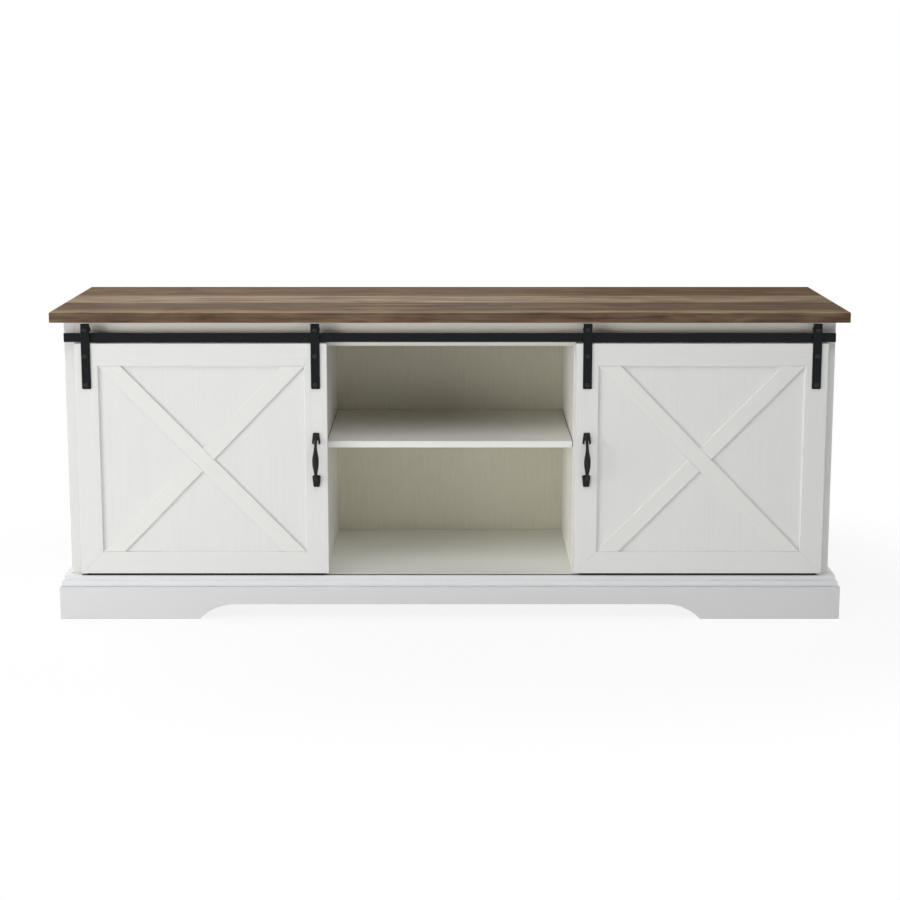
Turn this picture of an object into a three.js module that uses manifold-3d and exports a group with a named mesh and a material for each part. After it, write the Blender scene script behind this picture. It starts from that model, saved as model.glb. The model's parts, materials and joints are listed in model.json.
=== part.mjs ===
/**
 * A farmhouse TV stand: a wood top on a white carcass, two barn doors that roll
 * along a flat steel track, an open centre bay, and a plinth with an arched front.
 *
 * Units are millimetres. X runs to the right, Y to the back and Z up.
 * The origin is on the floor, at the centre of the whole object's footprint.
 */
import * as THREE from 'three';
import { mergeVertices } from 'three/addons/utils/BufferGeometryUtils.js';
import Module from 'manifold-3d';

const wasm = await Module();
wasm.setup();

// ---------------------------------------------------------------- driving sizes

// Whole object and top
const standHeight = 709;
const topLength = 1778;
const topDepth = 406;
const topThickness = 23;

// Carcass
const boardThickness = 15;
const sideThickness = 25; // the two outer panels
const sideOverhang = 23; // the top past each side panel
const frontOverhang = 36; // the top past the carcass front
const backOverhang = 20; // the top past the carcass back
const openingWidth = 559; // clear width of the centre bay
const fasciaHeight = 58;
const rearRailHeight = 70;
const backPanelThickness = 3;
const backPanelRecess = 19; // from the carcass back to the panel's back face
const backGrooveDepth = 5;

// Shelves and their pins
const shelfTop = 407.5;
const shelfThickness = 15;
const shelfSetback = 4; // behind the carcass front
const shelfEndGap = 1;
const pinRadius = 2.5;
const pinLength = 8;
const pinInset = 50; // from the shelf's front and back edges

// Cable ports in the side bays
const cablePortRadius = 25;
const cablePortHeight = 90; // above the slab

// Base
const plinthHeight = 76;
const plinthThickness = 15;
const plinthProud = 4; // the plinth past the slab's nose
const slabThickness = 24;
const slabProudSide = 18; // the slab's nose past the side panels
const slabProudFront = 26; // the slab's nose past the carcass front
const slabLipHeight = 9;
const slabLipInset = 5.5;
const slabFillet = 0.8;
const slabOvoloHeight = 9;
const slabUnderRound = 4;
const footLength = 317;
const archHeight = 35;
const archRadius = 109;
const centreFootWidth = 44;
const centreFootSetback = 190; // behind the plinth's front face

// Door guide groove in the slab
const grooveWidth = 6;
const grooveDepth = 8;
const grooveEndMargin = 27; // from the side panel's outer face

// Doors
const doorThickness = 18;
const doorInset = 12; // the door's front face behind the top's front edge
const doorReveal = 0.9; // the door's inner edge past the divider, into the opening
const doorEndInset = 24.4; // from the carcass side in to the door's outer edge
const doorFloorGap = 6; // from the slab up to the door's lower edge
const doorDrift = 3.6; // both doors stand this much to the right at home
const frameWidth = 51;
const panelThickness = 6;
const panelRecess = 5; // panel face behind the frame face
const panelHousing = 8; // how deep the frame's groove takes the panel
const braceWidth = 36;
const braceRelief = 0.5; // the brace face behind the frame face

// Track and hangers
const trackHeight = 20;
const trackThickness = 5;
const trackDrop = 26; // from the top's underside to the track's upper edge
const trackShortfall = 4.5; // at each end, from the side panel's outer face
const trackDoorGap = 3; // from the track down to the door's top edge
const standoffRadius = 6;
const standoffCount = 4;
const standoffEndMargin = 100; // from the track's end to the outer standoffs
const studRadius = 3;
const studNutRadius = 6;
const studNutThickness = 5;
const strapWidth = 20;
const strapLength = 148;
const strapThickness = 3;
const axleDrop = 14.4; // from the strap's top end
const boltDrops = [73.6, 138.4]; // from the strap's top end
const boltRadius = 2.5;
const boltLength = 11;
const domeRadius = 5.5;
const domeHeight = 3;
const wheelTreadRadius = 7.5;
const wheelFlangeRadius = 10.5;
const wheelWidth = 9;
const wheelStrapGap = 0.8;
const axleNutRadius = 5;
const axleNutThickness = 3.6;

// Bottom guides
const guideInset = 12.6; // from the door's end to the guide's end
const guidePlateWidth = 16;
const guidePlateThickness = 2;
const guideBladeThickness = 4;
const guideDip = 4; // into the slab's groove

// Handle
const handleHeight = 124.4;
const handleFootLength = 27;
const handleFootWidth = 19;
const handleFootTip = 13.8;
const handleFootThickness = 3.5;
const handleReach = 24.5; // from the door's face to the grip's centre line
const gripWidth = 14.4;
const gripThickness = 8;
const neckWidth = 6.3;
const neckThickness = 5.5;
const gripTwist = THREE.MathUtils.degToRad(38);
const bellySpread = 0.17; // of the grip's length, how far the belly's swell runs
const rootSpread = 0.1; // of the grip's length, how far the flare at each foot runs
const rootInset = 2; // the flare is this much narrower than the foot's tip
// The grip's centre line from either end: [in from the handle's end, share of the reach]
const gripRoute = [[8, 0.06], [15, 0.28], [25, 0.72], [38, 0.95]];

// Clearances and easing
const runningGap = 0.3; // between parts that are cut to fit or that turn
const mitreGap = 0.3;
const boardEase = 1; // chamfer on the edges of boards
const sheetEase = 0.3; // corner chamfer on thin sheets
const steelEase = 0.5; // chamfer on steel and nylon edges
const toolOverrun = 1; // how far a cutting tool or a buried end runs past a face
const roundSteps = 24; // facets round a full turn
const gripSteps = 26; // rings along the handle's grip
const gripCorners = 10; // corners round each ring

// ---------------------------------------------------------------- derived places

const gripFront = handleReach + gripThickness / 2;
const overallDepth = topDepth + gripFront - doorInset;
const topFrontY = overallDepth / 2 - topDepth;
const yBehindTop = (inset) => topFrontY + inset;

const carcassFrontY = yBehindTop(frontOverhang);
const carcassBackY = yBehindTop(topDepth - backOverhang);
const carcassDepth = carcassBackY - carcassFrontY;
const carcassHalf = topLength / 2 - sideOverhang;
const topUnderside = standHeight - topThickness;
const slabTop = plinthHeight + slabThickness;
const carcassHeight = topUnderside - slabTop;
const openingHalf = openingWidth / 2;
const sideInner = carcassHalf - sideThickness;
const dividerOuter = openingHalf + boardThickness;
const backPanelBackY = carcassBackY - backPanelRecess;
const backPanelFrontY = backPanelBackY - backPanelThickness;

const doorFrontY = yBehindTop(doorInset);
const doorMidY = doorFrontY + doorThickness / 2;
const trackTop = topUnderside - trackDrop;
const trackMidZ = trackTop - trackHeight / 2;
const trackHalf = carcassHalf - trackShortfall;
const doorTop = trackTop - trackHeight - trackDoorGap;
const doorBottom = slabTop + doorFloorGap;
const doorHeight = doorTop - doorBottom;
const doorMidZ = doorBottom + doorHeight / 2;
const doorInnerEdge = openingHalf - doorReveal;
const doorWidth = carcassHalf - doorEndInset - doorInnerEdge;
const wheelFrontY = doorFrontY + wheelStrapGap;
const wheelMidY = wheelFrontY + wheelWidth / 2;
const trackFrontY = wheelMidY - trackThickness / 2;
const axleZ = trackTop + wheelTreadRadius + runningGap;
const strapTop = axleZ + axleDrop;

// ---------------------------------------------------------------- materials

const finish = (color, roughness, metalness = 0) =>
  new THREE.MeshStandardMaterial({ color, roughness, metalness });

const printedWood = finish('#7a6753', 0.55);
const whiteWash = finish('#dedcd6', 0.6);
const backBoard = finish('#cfccc3', 0.7);
const blackSteel = finish('#1d1f21', 0.45, 0.9);
const castIron = finish('#222425', 0.55, 0.8);
const blackNylon = finish('#161616', 0.5);

// ---------------------------------------------------------------- solids

/** Turns a closed geometry into a manifold solid. */
function toSolid(geometry) {
  const bare = geometry.clone();
  bare.deleteAttribute('normal');
  bare.deleteAttribute('uv');
  const merged = mergeVertices(bare, 1e-4);
  return new wasm.Manifold(new wasm.Mesh({
    numProp: 3,
    vertProperties: new Float32Array(merged.attributes.position.array),
    triVerts: new Uint32Array(merged.index.array),
  }));
}

/** Turns a manifold solid back into a geometry. */
function toGeometry(solid) {
  const mesh = solid.getMesh();
  const geometry = new THREE.BufferGeometry();
  geometry.setAttribute('position', new THREE.BufferAttribute(mesh.vertProperties, 3));
  geometry.setIndex(new THREE.BufferAttribute(mesh.triVerts, 1));
  return geometry;
}

/** Cuts every tool out of a body. */
function cut(body, ...tools) {
  return toGeometry(tools.reduce((rest, tool) => rest.subtract(toSolid(tool)), toSolid(body)));
}

/** Joins solids that run into each other. */
function join(...bodies) {
  return toGeometry(bodies.map(toSolid).reduce((whole, body) => whole.add(body)));
}

/** A closed outline through [x, y] points. */
function outline(points) {
  return new THREE.Shape(points.map(([x, y]) => new THREE.Vector2(x, y)));
}

/** A rectangle centred on the origin, its corners chamfered. */
function easedRectangle(width, height, ease = boardEase) {
  const [x, y] = [width / 2, height / 2];
  return outline([
    [-x + ease, -y], [x - ease, -y], [x, -y + ease], [x, y - ease],
    [x - ease, y], [-x + ease, y], [-x, y - ease], [-x, -y + ease],
  ]);
}

/** A plate of an outline: 0 to thickness along Z, with both rims chamfered. */
function plate(shape, thickness, ease = boardEase) {
  const geometry = new THREE.ExtrudeGeometry(shape, {
    depth: thickness - 2 * ease,
    bevelEnabled: ease > 0,
    bevelThickness: ease,
    bevelSize: ease,
    bevelOffset: -ease,
    bevelSegments: 1,
    curveSegments: roundSteps / 4,
  });
  return geometry.translate(0, 0, ease);
}

// Outline X stays X, outline Y becomes Z, and the thickness runs to the back.
const faceFront = new THREE.Matrix4().makeBasis(
  new THREE.Vector3(1, 0, 0),
  new THREE.Vector3(0, 0, 1),
  new THREE.Vector3(0, -1, 0),
);

// Outline X becomes Y, outline Y becomes Z, and the thickness runs to the right.
const faceSide = new THREE.Matrix4().makeBasis(
  new THREE.Vector3(0, 1, 0),
  new THREE.Vector3(0, 0, 1),
  new THREE.Vector3(1, 0, 0),
);

/** A plate that stands facing the front, from y = 0 back to its thickness. */
function frontPlate(shape, thickness, ease) {
  return plate(shape, thickness, ease).applyMatrix4(faceFront).translate(0, thickness, 0);
}

/** A plate that stands facing the side, centred on x = 0. */
function sidePlate(shape, thickness, ease) {
  return plate(shape, thickness, ease).applyMatrix4(faceSide).translate(-thickness / 2, 0, 0);
}

/** A plain box given by its size and centre. */
function block(width, depth, height, x = 0, y = 0, z = 0) {
  return new THREE.BoxGeometry(width, depth, height).translate(x, y, z);
}

/** A cylinder along Y from y0 to y1. */
function rod(radius, y0, y1, segments = roundSteps) {
  return new THREE.CylinderGeometry(radius, radius, y1 - y0, segments)
    .translate(0, (y0 + y1) / 2, 0);
}

/** A round-headed bolt along Y: the head stands in front of y = 0. */
function roundHeadBolt(radius, length) {
  const dome = new THREE.EllipseCurve(0, 0, domeRadius, domeHeight, 0, Math.PI / 2);
  const profile = [
    new THREE.Vector2(0, -length),
    new THREE.Vector2(radius, -length),
    new THREE.Vector2(radius, 0),
    ...dome.getPoints(4),
  ];
  profile[profile.length - 1].x = 0;
  return new THREE.LatheGeometry(profile, roundSteps / 2).rotateX(Math.PI);
}

/** Skins a row of rings of equal point counts and closes both ends. */
function loft(rings) {
  const count = rings[0].length;
  const index = [];
  for (let ring = 0; ring < rings.length - 1; ring += 1) {
    for (let point = 0; point < count; point += 1) {
      const a = ring * count + point;
      const b = ring * count + ((point + 1) % count);
      index.push(a, b, b + count, a, b + count, a + count);
    }
  }
  const last = (rings.length - 1) * count;
  for (let point = 1; point < count - 1; point += 1) {
    index.push(0, point + 1, point, last, last + point, last + point + 1);
  }
  const geometry = new THREE.BufferGeometry().setFromPoints(rings.flat());
  geometry.setIndex(index);
  return geometry;
}

/**
 * A member of a mitred frame: a section swept along X and centred on it.
 * The section's X is the distance in from the outer edge, so the ends follow it.
 */
function mitredMember(section, length) {
  const geometry = new THREE.ExtrudeGeometry(section, { depth: 1, bevelEnabled: false });
  const position = geometry.attributes.position;
  for (let i = 0; i < position.count; i += 1) {
    const inward = position.getX(i);
    const across = position.getY(i);
    const end = length / 2 - inward - mitreGap / 2;
    position.setXYZ(i, position.getZ(i) > 0.5 ? -end : end, across, inward);
  }
  return geometry;
}

// ---------------------------------------------------------------- scene helpers

const stand = new THREE.Group();

/** Adds a named mesh to a group at a place. */
function place(group, name, geometry, material, x = 0, y = 0, z = 0) {
  const mesh = new THREE.Mesh(geometry, material);
  mesh.name = name;
  mesh.position.set(x, y, z);
  group.add(mesh);
  return mesh;
}

const sides = [['left', -1], ['right', 1]];

// ---------------------------------------------------------------- top

function addTop() {
  const shape = easedRectangle(topLength, topDepth);
  const y = yBehindTop(topDepth / 2);
  place(stand, 'top_board', plate(shape, topThickness), printedWood, 0, y, topUnderside);
}

// ---------------------------------------------------------------- carcass

const shelfBottom = shelfTop - shelfThickness;
const shelfDepth = backPanelFrontY - carcassFrontY - shelfSetback - shelfEndGap;
const shelfMidY = carcassFrontY + shelfSetback + shelfDepth / 2;
const carcassMidY = (carcassFrontY + carcassBackY) / 2;

/** The slot that holds a back panel, on the +X or -X face of a board at x = 0. */
function backSlot(face, thickness) {
  const depth = backGrooveDepth + runningGap;
  return block(
    2 * depth,
    backPanelThickness + 2 * runningGap,
    carcassHeight * 2,
    face * thickness / 2,
    backPanelFrontY + backPanelThickness / 2 - carcassMidY,
    carcassHeight / 2,
  );
}

/** The two shelf pins on the +X or -X face of a board at x = 0. */
function shelfPins(face, thickness) {
  const reach = shelfDepth / 2 - pinInset;
  const length = pinLength + thickness / 2;
  return [-reach, reach].map((y) =>
    new THREE.CylinderGeometry(pinRadius, pinRadius, length, roundSteps / 2)
      .rotateZ(Math.PI / 2)
      .translate(
        face * length / 2,
        y + shelfMidY - carcassMidY,
        shelfBottom - slabTop - pinRadius - runningGap,
      ));
}

function addSidePanels() {
  const shape = easedRectangle(carcassDepth, carcassHeight);
  for (const [name, hand] of sides) {
    const panel = sidePlate(shape, sideThickness).translate(0, 0, carcassHeight / 2);
    const slotted = cut(panel, backSlot(-hand, sideThickness));
    const geometry = join(slotted, ...shelfPins(-hand, sideThickness));
    const x = hand * (carcassHalf - sideThickness / 2);
    place(stand, `side_panel_${name}`, geometry, whiteWash, x, carcassMidY, slabTop);
  }
}

/** A divider is notched at the top for the fascia and the rear rail. */
function addDividers() {
  const half = carcassDepth / 2;
  const notch = boardThickness + runningGap;
  const fasciaNotch = carcassHeight - fasciaHeight - runningGap;
  const rearNotch = carcassHeight - rearRailHeight - runningGap;
  const shape = outline([
    [-half, 0], [half, 0], [half, rearNotch], [half - notch, rearNotch],
    [half - notch, carcassHeight], [-half + notch, carcassHeight],
    [-half + notch, fasciaNotch], [-half, fasciaNotch],
  ]);
  for (const [name, hand] of sides) {
    const panel = sidePlate(shape, boardThickness);
    const cuts = [1, -1].map((face) => backSlot(face, boardThickness));
    const pins = [1, -1].flatMap((face) => shelfPins(face, boardThickness));
    const geometry = join(cut(panel, ...cuts), ...pins);
    const x = hand * (openingHalf + boardThickness / 2);
    place(stand, `divider_${name}`, geometry, whiteWash, x, carcassMidY, slabTop);
  }
}

const standoffXs = Array.from({ length: standoffCount }, (_, i) => {
  const reach = trackHalf - standoffEndMargin;
  return -reach + (2 * reach * i) / (standoffCount - 1);
});

/** The fascia's ends are trimmed square, so they close up against the side panels. */
function addFascia() {
  const shape = easedRectangle(2 * (sideInner + boardEase), fasciaHeight);
  const z = topUnderside - fasciaHeight / 2;
  const holes = standoffXs.map((x) =>
    rod(studRadius + runningGap, -toolOverrun, boardThickness + toolOverrun)
      .translate(x, 0, trackMidZ - z));
  const ends = sides.map(([, hand]) =>
    block(2 * boardEase, 4 * boardThickness, 2 * fasciaHeight,
      hand * (sideInner + boardEase), 0, 0));
  const geometry = cut(frontPlate(shape, boardThickness), ...holes, ...ends);
  place(stand, 'fascia_board', geometry, whiteWash, 0, carcassFrontY, z);
}

function addRearTopRail() {
  const shape = easedRectangle(2 * sideInner, rearRailHeight);
  const z = topUnderside - rearRailHeight / 2;
  const y = carcassBackY - boardThickness;
  place(stand, 'rear_top_rail', frontPlate(shape, boardThickness), whiteWash, 0, y, z);
}

function addBackPanels() {
  const height = carcassHeight - runningGap;
  const bays = [
    ['left', -sideInner, -dividerOuter, true],
    ['centre', -openingHalf, openingHalf, false],
    ['right', dividerOuter, sideInner, true],
  ];
  for (const [name, x0, x1, hasPort] of bays) {
    const width = x1 - x0 + 2 * backGrooveDepth;
    const shape = easedRectangle(width, height, sheetEase);
    if (hasPort) {
      const port = new THREE.Path();
      port.absarc(0, cablePortHeight - height / 2, cablePortRadius, 0, 2 * Math.PI, true);
      shape.holes.push(port);
    }
    const geometry = frontPlate(shape, backPanelThickness, 0);
    const z = slabTop + carcassHeight / 2;
    place(stand, `back_panel_${name}`, geometry, backBoard, (x0 + x1) / 2, backPanelFrontY, z);
  }
}

function addShelves() {
  const bays = [
    ['left', -sideInner, -dividerOuter],
    ['centre', -openingHalf, openingHalf],
    ['right', dividerOuter, sideInner],
  ];
  for (const [name, x0, x1] of bays) {
    const shape = easedRectangle(x1 - x0 - 2 * shelfEndGap, shelfDepth);
    const geometry = plate(shape, shelfThickness);
    place(stand, `shelf_${name}`, geometry, whiteWash, (x0 + x1) / 2, shelfMidY, shelfBottom);
  }
}

// ---------------------------------------------------------------- base

const slabHalf = carcassHalf + slabProudSide;
const slabFrontY = carcassFrontY - slabProudFront;
const plinthHalf = slabHalf + plinthProud;
const plinthFrontY = slabFrontY - plinthProud;
const plinthDepth = carcassBackY - plinthFrontY;

/** The slab's edge, from the top down: [inset from the nose, height above the underside]. */
function slabProfile() {
  const ovoloTop = slabThickness - slabLipHeight - slabFillet;
  const ovoloInset = slabLipInset - slabFillet;
  const ovolo = new THREE.EllipseCurve(
    ovoloInset, ovoloTop - slabOvoloHeight, ovoloInset, slabOvoloHeight, Math.PI / 2, Math.PI,
  ).getPoints(5).map(({ x, y }) => [x, y]);
  const under = new THREE.EllipseCurve(
    slabUnderRound / 2, slabUnderRound, slabUnderRound / 2, slabUnderRound, Math.PI, 1.5 * Math.PI,
  ).getPoints(3).map(({ x, y }) => [x, y]);
  return [
    [slabLipInset + boardEase, slabThickness],
    [slabLipInset, slabThickness - boardEase],
    [slabLipInset, slabThickness - slabLipHeight],
    [ovoloInset, ovoloTop],
    ...ovolo.slice(1),
    ...under,
  ];
}

/** One board with its front and side edges moulded, and a stopped groove for the door guides. */
function addSlab() {
  const rings = slabProfile().reverse().map(([inset, z]) => [
    new THREE.Vector3(-slabHalf + inset, slabFrontY + inset, z),
    new THREE.Vector3(slabHalf - inset, slabFrontY + inset, z),
    new THREE.Vector3(slabHalf - inset, carcassBackY, z),
    new THREE.Vector3(-slabHalf + inset, carcassBackY, z),
  ]);
  const grooveLength = 2 * (carcassHalf - grooveEndMargin);
  const groove = block(grooveLength, grooveWidth, 2 * grooveDepth, 0, doorMidY, slabThickness);
  place(stand, 'base_slab', cut(loft(rings), groove), whiteWash, 0, 0, plinthHeight);
}

/** The front board's outline: two long feet and a shallow arch with round haunches. */
function plinthFrontOutline(halfLength) {
  const haunch = Math.sqrt(archRadius ** 2 - (archRadius - archHeight) ** 2);
  const sweep = Math.asin(haunch / archRadius);
  const flatHalf = plinthHalf - footLength - haunch;
  const shape = new THREE.Shape();
  shape.moveTo(-halfLength, 0);
  shape.lineTo(-flatHalf - haunch, 0);
  shape.absarc(-flatHalf, archHeight - archRadius, archRadius,
    Math.PI / 2 + sweep, Math.PI / 2, true);
  shape.lineTo(flatHalf, archHeight);
  shape.absarc(flatHalf, archHeight - archRadius, archRadius,
    Math.PI / 2, Math.PI / 2 - sweep, true);
  shape.lineTo(halfLength, 0);
  shape.lineTo(halfLength, plinthHeight);
  shape.lineTo(-halfLength, plinthHeight);
  return shape;
}

/** Slants one end of a standing board at 45 degrees, from the face at y = 0 inwards. */
function mitreEnd(geometry, end) {
  const position = geometry.attributes.position;
  for (let i = 0; i < position.count; i += 1) {
    const x = position.getX(i);
    if (Math.abs(x - end) < 2 * boardEase) {
      position.setX(i, x - Math.sign(end) * (position.getY(i) + mitreGap / 2));
    }
  }
  return geometry;
}

function addPlinth() {
  const front = frontPlate(plinthFrontOutline(plinthHalf), plinthThickness);
  mitreEnd(mitreEnd(front, plinthHalf), -plinthHalf);
  place(stand, 'plinth_front', front, whiteWash, 0, plinthFrontY, 0);

  for (const [name, hand] of sides) {
    const board = frontPlate(easedRectangle(plinthDepth, plinthHeight), plinthThickness);
    const side = mitreEnd(board, (-hand * plinthDepth) / 2).rotateZ((hand * Math.PI) / 2);
    place(stand, `plinth_${name}`, side, whiteWash,
      hand * plinthHalf, plinthFrontY + plinthDepth / 2, plinthHeight / 2);
  }

  const back = easedRectangle(2 * (plinthHalf - plinthThickness - runningGap), plinthHeight);
  place(stand, 'plinth_back', frontPlate(back, plinthThickness), whiteWash,
    0, carcassBackY - plinthThickness, plinthHeight / 2);
}

/** A square leg with an eased foot that carries the slab's middle. */
function addCentreFoot() {
  const shape = easedRectangle(centreFootWidth, centreFootWidth, 2);
  const geometry = plate(shape, plinthHeight, 2);
  place(stand, 'centre_foot', geometry, blackNylon, 0, plinthFrontY + centreFootSetback, 0);
}

// ---------------------------------------------------------------- track

function addTrack() {
  const shape = easedRectangle(2 * trackHalf, trackHeight, steelEase);
  const geometry = frontPlate(shape, trackThickness, steelEase);
  place(stand, 'door_track', geometry, blackSteel, 0, trackFrontY, trackMidZ);
}

/** A sleeve welded to the track, with its stud through the fascia and a nut behind. */
function addStandoffs() {
  const sleeveEnd = carcassFrontY - trackFrontY - trackThickness;
  const nutStart = sleeveEnd + boardThickness;
  standoffXs.forEach((x, i) => {
    const geometry = join(
      rod(standoffRadius, 0, sleeveEnd, roundSteps / 2),
      rod(studRadius, sleeveEnd - toolOverrun, nutStart + studNutThickness + toolOverrun,
        roundSteps / 2),
      rod(studNutRadius, nutStart, nutStart + studNutThickness, 6),
    );
    place(stand, `track_standoff_${i + 1}`, geometry, blackSteel,
      x, trackFrontY + trackThickness, trackMidZ);
  });
}

// ---------------------------------------------------------------- doors

/**
 * The section of a frame member: [in from the outer edge, back from the front face].
 * A housing in its inner edge takes the panel.
 */
function frameSection() {
  const housingFront = panelRecess;
  const housingBack = panelRecess + panelThickness + runningGap;
  return outline([
    [boardEase, 0], [frameWidth - boardEase, 0], [frameWidth, boardEase],
    [frameWidth, housingFront], [frameWidth - panelHousing, housingFront],
    [frameWidth - panelHousing, housingBack], [frameWidth, housingBack],
    [frameWidth, doorThickness - boardEase], [frameWidth - boardEase, doorThickness],
    [boardEase, doorThickness], [0, doorThickness - boardEase], [0, boardEase],
  ]);
}

/** A frame member in its place round the door's centre: turn 0 is the bottom rail. */
function frameMember(length, offset, turn) {
  return mitredMember(frameSection(), length)
    .translate(0, 0, -offset)
    .rotateY(turn);
}

/** The holes for the strap's two bolts in a stile, in the door's own frame. */
function boltHoles(x) {
  return boltDrops.map((drop) =>
    rod(boltRadius + runningGap, -toolOverrun, boltLength, roundSteps / 2)
      .translate(x, 0, strapTop - drop - doorMidZ));
}

/** The X brace: one long piece, and two halves that butt against it. */
function braceOutlines() {
  const halfW = doorWidth / 2 - frameWidth - runningGap;
  const halfH = doorHeight / 2 - frameWidth - runningGap;
  // The ends are cut level, so the cut is longer than the brace is wide, and it sets the slope.
  let endCut = braceWidth;
  for (let pass = 0; pass < 8; pass += 1) {
    endCut = braceWidth / Math.sin(Math.atan2(2 * halfH, 2 * halfW - endCut));
  }
  const run = 2 * halfW - endCut;
  const gap = runningGap / Math.sin(Math.atan2(2 * halfH, run));
  const long = [
    [-halfW, halfH], [-halfW + endCut, halfH], [halfW, -halfH], [halfW - endCut, -halfH],
  ];
  // Where an edge of the upper half, this far in from its corner, meets the long piece.
  const meet = (inset) => {
    const share = (run - inset - gap) / (2 * run);
    return [halfW - inset - run * share, halfH * (1 - 2 * share)];
  };
  const upper = [[halfW - endCut, halfH], meet(endCut), meet(0), [halfW, halfH]];
  const lower = upper.map(([x, z]) => [-x, -z]);
  return { long, upper, lower };
}

/** A strap hanger with its two bolts, drawn from the strap's top end at the door's face. */
function hangerStrap() {
  const shape = easedRectangle(strapWidth, strapLength, steelEase);
  const bar = frontPlate(shape, strapThickness, steelEase)
    .translate(0, -strapThickness, -strapLength / 2);
  const hole = rod(boltRadius + runningGap, -strapThickness - toolOverrun, toolOverrun)
    .translate(0, 0, -axleDrop);
  const bolts = boltDrops.map((drop) =>
    roundHeadBolt(boltRadius, boltLength).translate(0, -strapThickness, -drop));
  return join(cut(bar, hole), ...bolts);
}

/** The axle bolt: its head on the strap's front and its nut behind the wheel. */
function wheelAxle() {
  const nutStart = wheelStrapGap + wheelWidth + runningGap;
  const nutEnd = nutStart + axleNutThickness;
  return join(
    roundHeadBolt(boltRadius, strapThickness + nutEnd + toolOverrun)
      .translate(0, -strapThickness, 0),
    rod(axleNutRadius, nutStart, nutEnd, 6),
  );
}

/** A flanged wheel with a tread groove as wide as the track, turning about Y. */
function wheel() {
  const half = wheelWidth / 2;
  const groove = trackThickness / 2 + runningGap;
  const bore = boltRadius + runningGap;
  const ease = steelEase;
  const profile = [
    [bore, -half], [wheelFlangeRadius - ease, -half], [wheelFlangeRadius, -half + ease],
    [wheelFlangeRadius, -groove - ease], [wheelTreadRadius, -groove],
    [wheelTreadRadius, groove], [wheelFlangeRadius, groove + ease],
    [wheelFlangeRadius, half - ease], [wheelFlangeRadius - ease, half], [bore, half],
    [bore, -half],
  ].map(([x, y]) => new THREE.Vector2(x, y));
  return new THREE.LatheGeometry(profile, roundSteps);
}

/** The guide: a plate along the door's underside and a blade that runs in the slab's groove. */
function bottomGuide() {
  const length = doorWidth - 2 * guideInset;
  const drop = doorBottom - slabTop + guideDip;
  return join(
    block(length, guidePlateWidth, guidePlateThickness, 0, 0, -guidePlateThickness / 2),
    block(length, guideBladeThickness, drop, 0, 0, -drop / 2),
  );
}

/** A handle foot: narrow at its far end, widest near the grip, with cut corners. */
function handleFootOutline() {
  const end = handleHeight / 2;
  const inner = end - handleFootLength;
  const shoulder = inner + handleFootThickness;
  return outline([
    [-handleFootTip / 2, end], [-handleFootWidth / 2, shoulder], [-handleFootWidth / 3, inner],
    [handleFootWidth / 3, inner], [handleFootWidth / 2, shoulder], [handleFootTip / 2, end],
  ]);
}

/** One ring of the grip at t along its route: an ellipse that swells and twists. */
function gripRing(route, t) {
  const centre = route.getPointAt(t);
  const across = new THREE.Vector3(1, 0, 0);
  const out = new THREE.Vector3().crossVectors(route.getTangentAt(t), across).normalize();
  const swell = Math.exp(-(((t - 0.5) / bellySpread) ** 2));
  const root = Math.exp(-((Math.min(t, 1 - t) / rootSpread) ** 2));
  const flare = (handleFootTip - rootInset - neckWidth) * root;
  const width = neckWidth + (gripWidth - neckWidth) * swell + flare;
  const thickness = neckThickness + (gripThickness - neckThickness) * swell;
  const twist = gripTwist * Math.sin((t - 0.5) * 2 * Math.PI) * swell;
  return Array.from({ length: gripCorners }, (_, corner) => {
    const angle = (corner / gripCorners) * 2 * Math.PI;
    const u = (Math.cos(angle) * width) / 2;
    const v = (Math.sin(angle) * thickness) / 2;
    return centre.clone()
      .addScaledVector(across, u * Math.cos(twist) - v * Math.sin(twist))
      .addScaledVector(out, u * Math.sin(twist) + v * Math.cos(twist));
  });
}

/** The cast handle: two wedge feet and an arched, twisted leaf grip. */
function handle() {
  const end = handleHeight / 2;
  const upperFoot = frontPlate(handleFootOutline(), handleFootThickness)
    .translate(0, -handleFootThickness, 0);
  const lowerFoot = upperFoot.clone().rotateY(Math.PI);

  const upper = gripRoute.map(([inset, share]) =>
    new THREE.Vector3(0, -handleReach * share, end - inset));
  const middle = new THREE.Vector3(0, -handleReach, 0);
  const lower = upper.map(({ y, z }) => new THREE.Vector3(0, y, -z)).reverse();
  const route = new THREE.CatmullRomCurve3([...upper, middle, ...lower]);
  const rings = Array.from({ length: gripSteps + 1 }, (_, i) => gripRing(route, i / gripSteps));
  const behind = block(handleHeight, handleHeight, 2 * handleHeight, 0, handleHeight / 2, 0);
  return join(cut(loft(rings), behind), upperFoot, lowerFoot);
}

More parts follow.
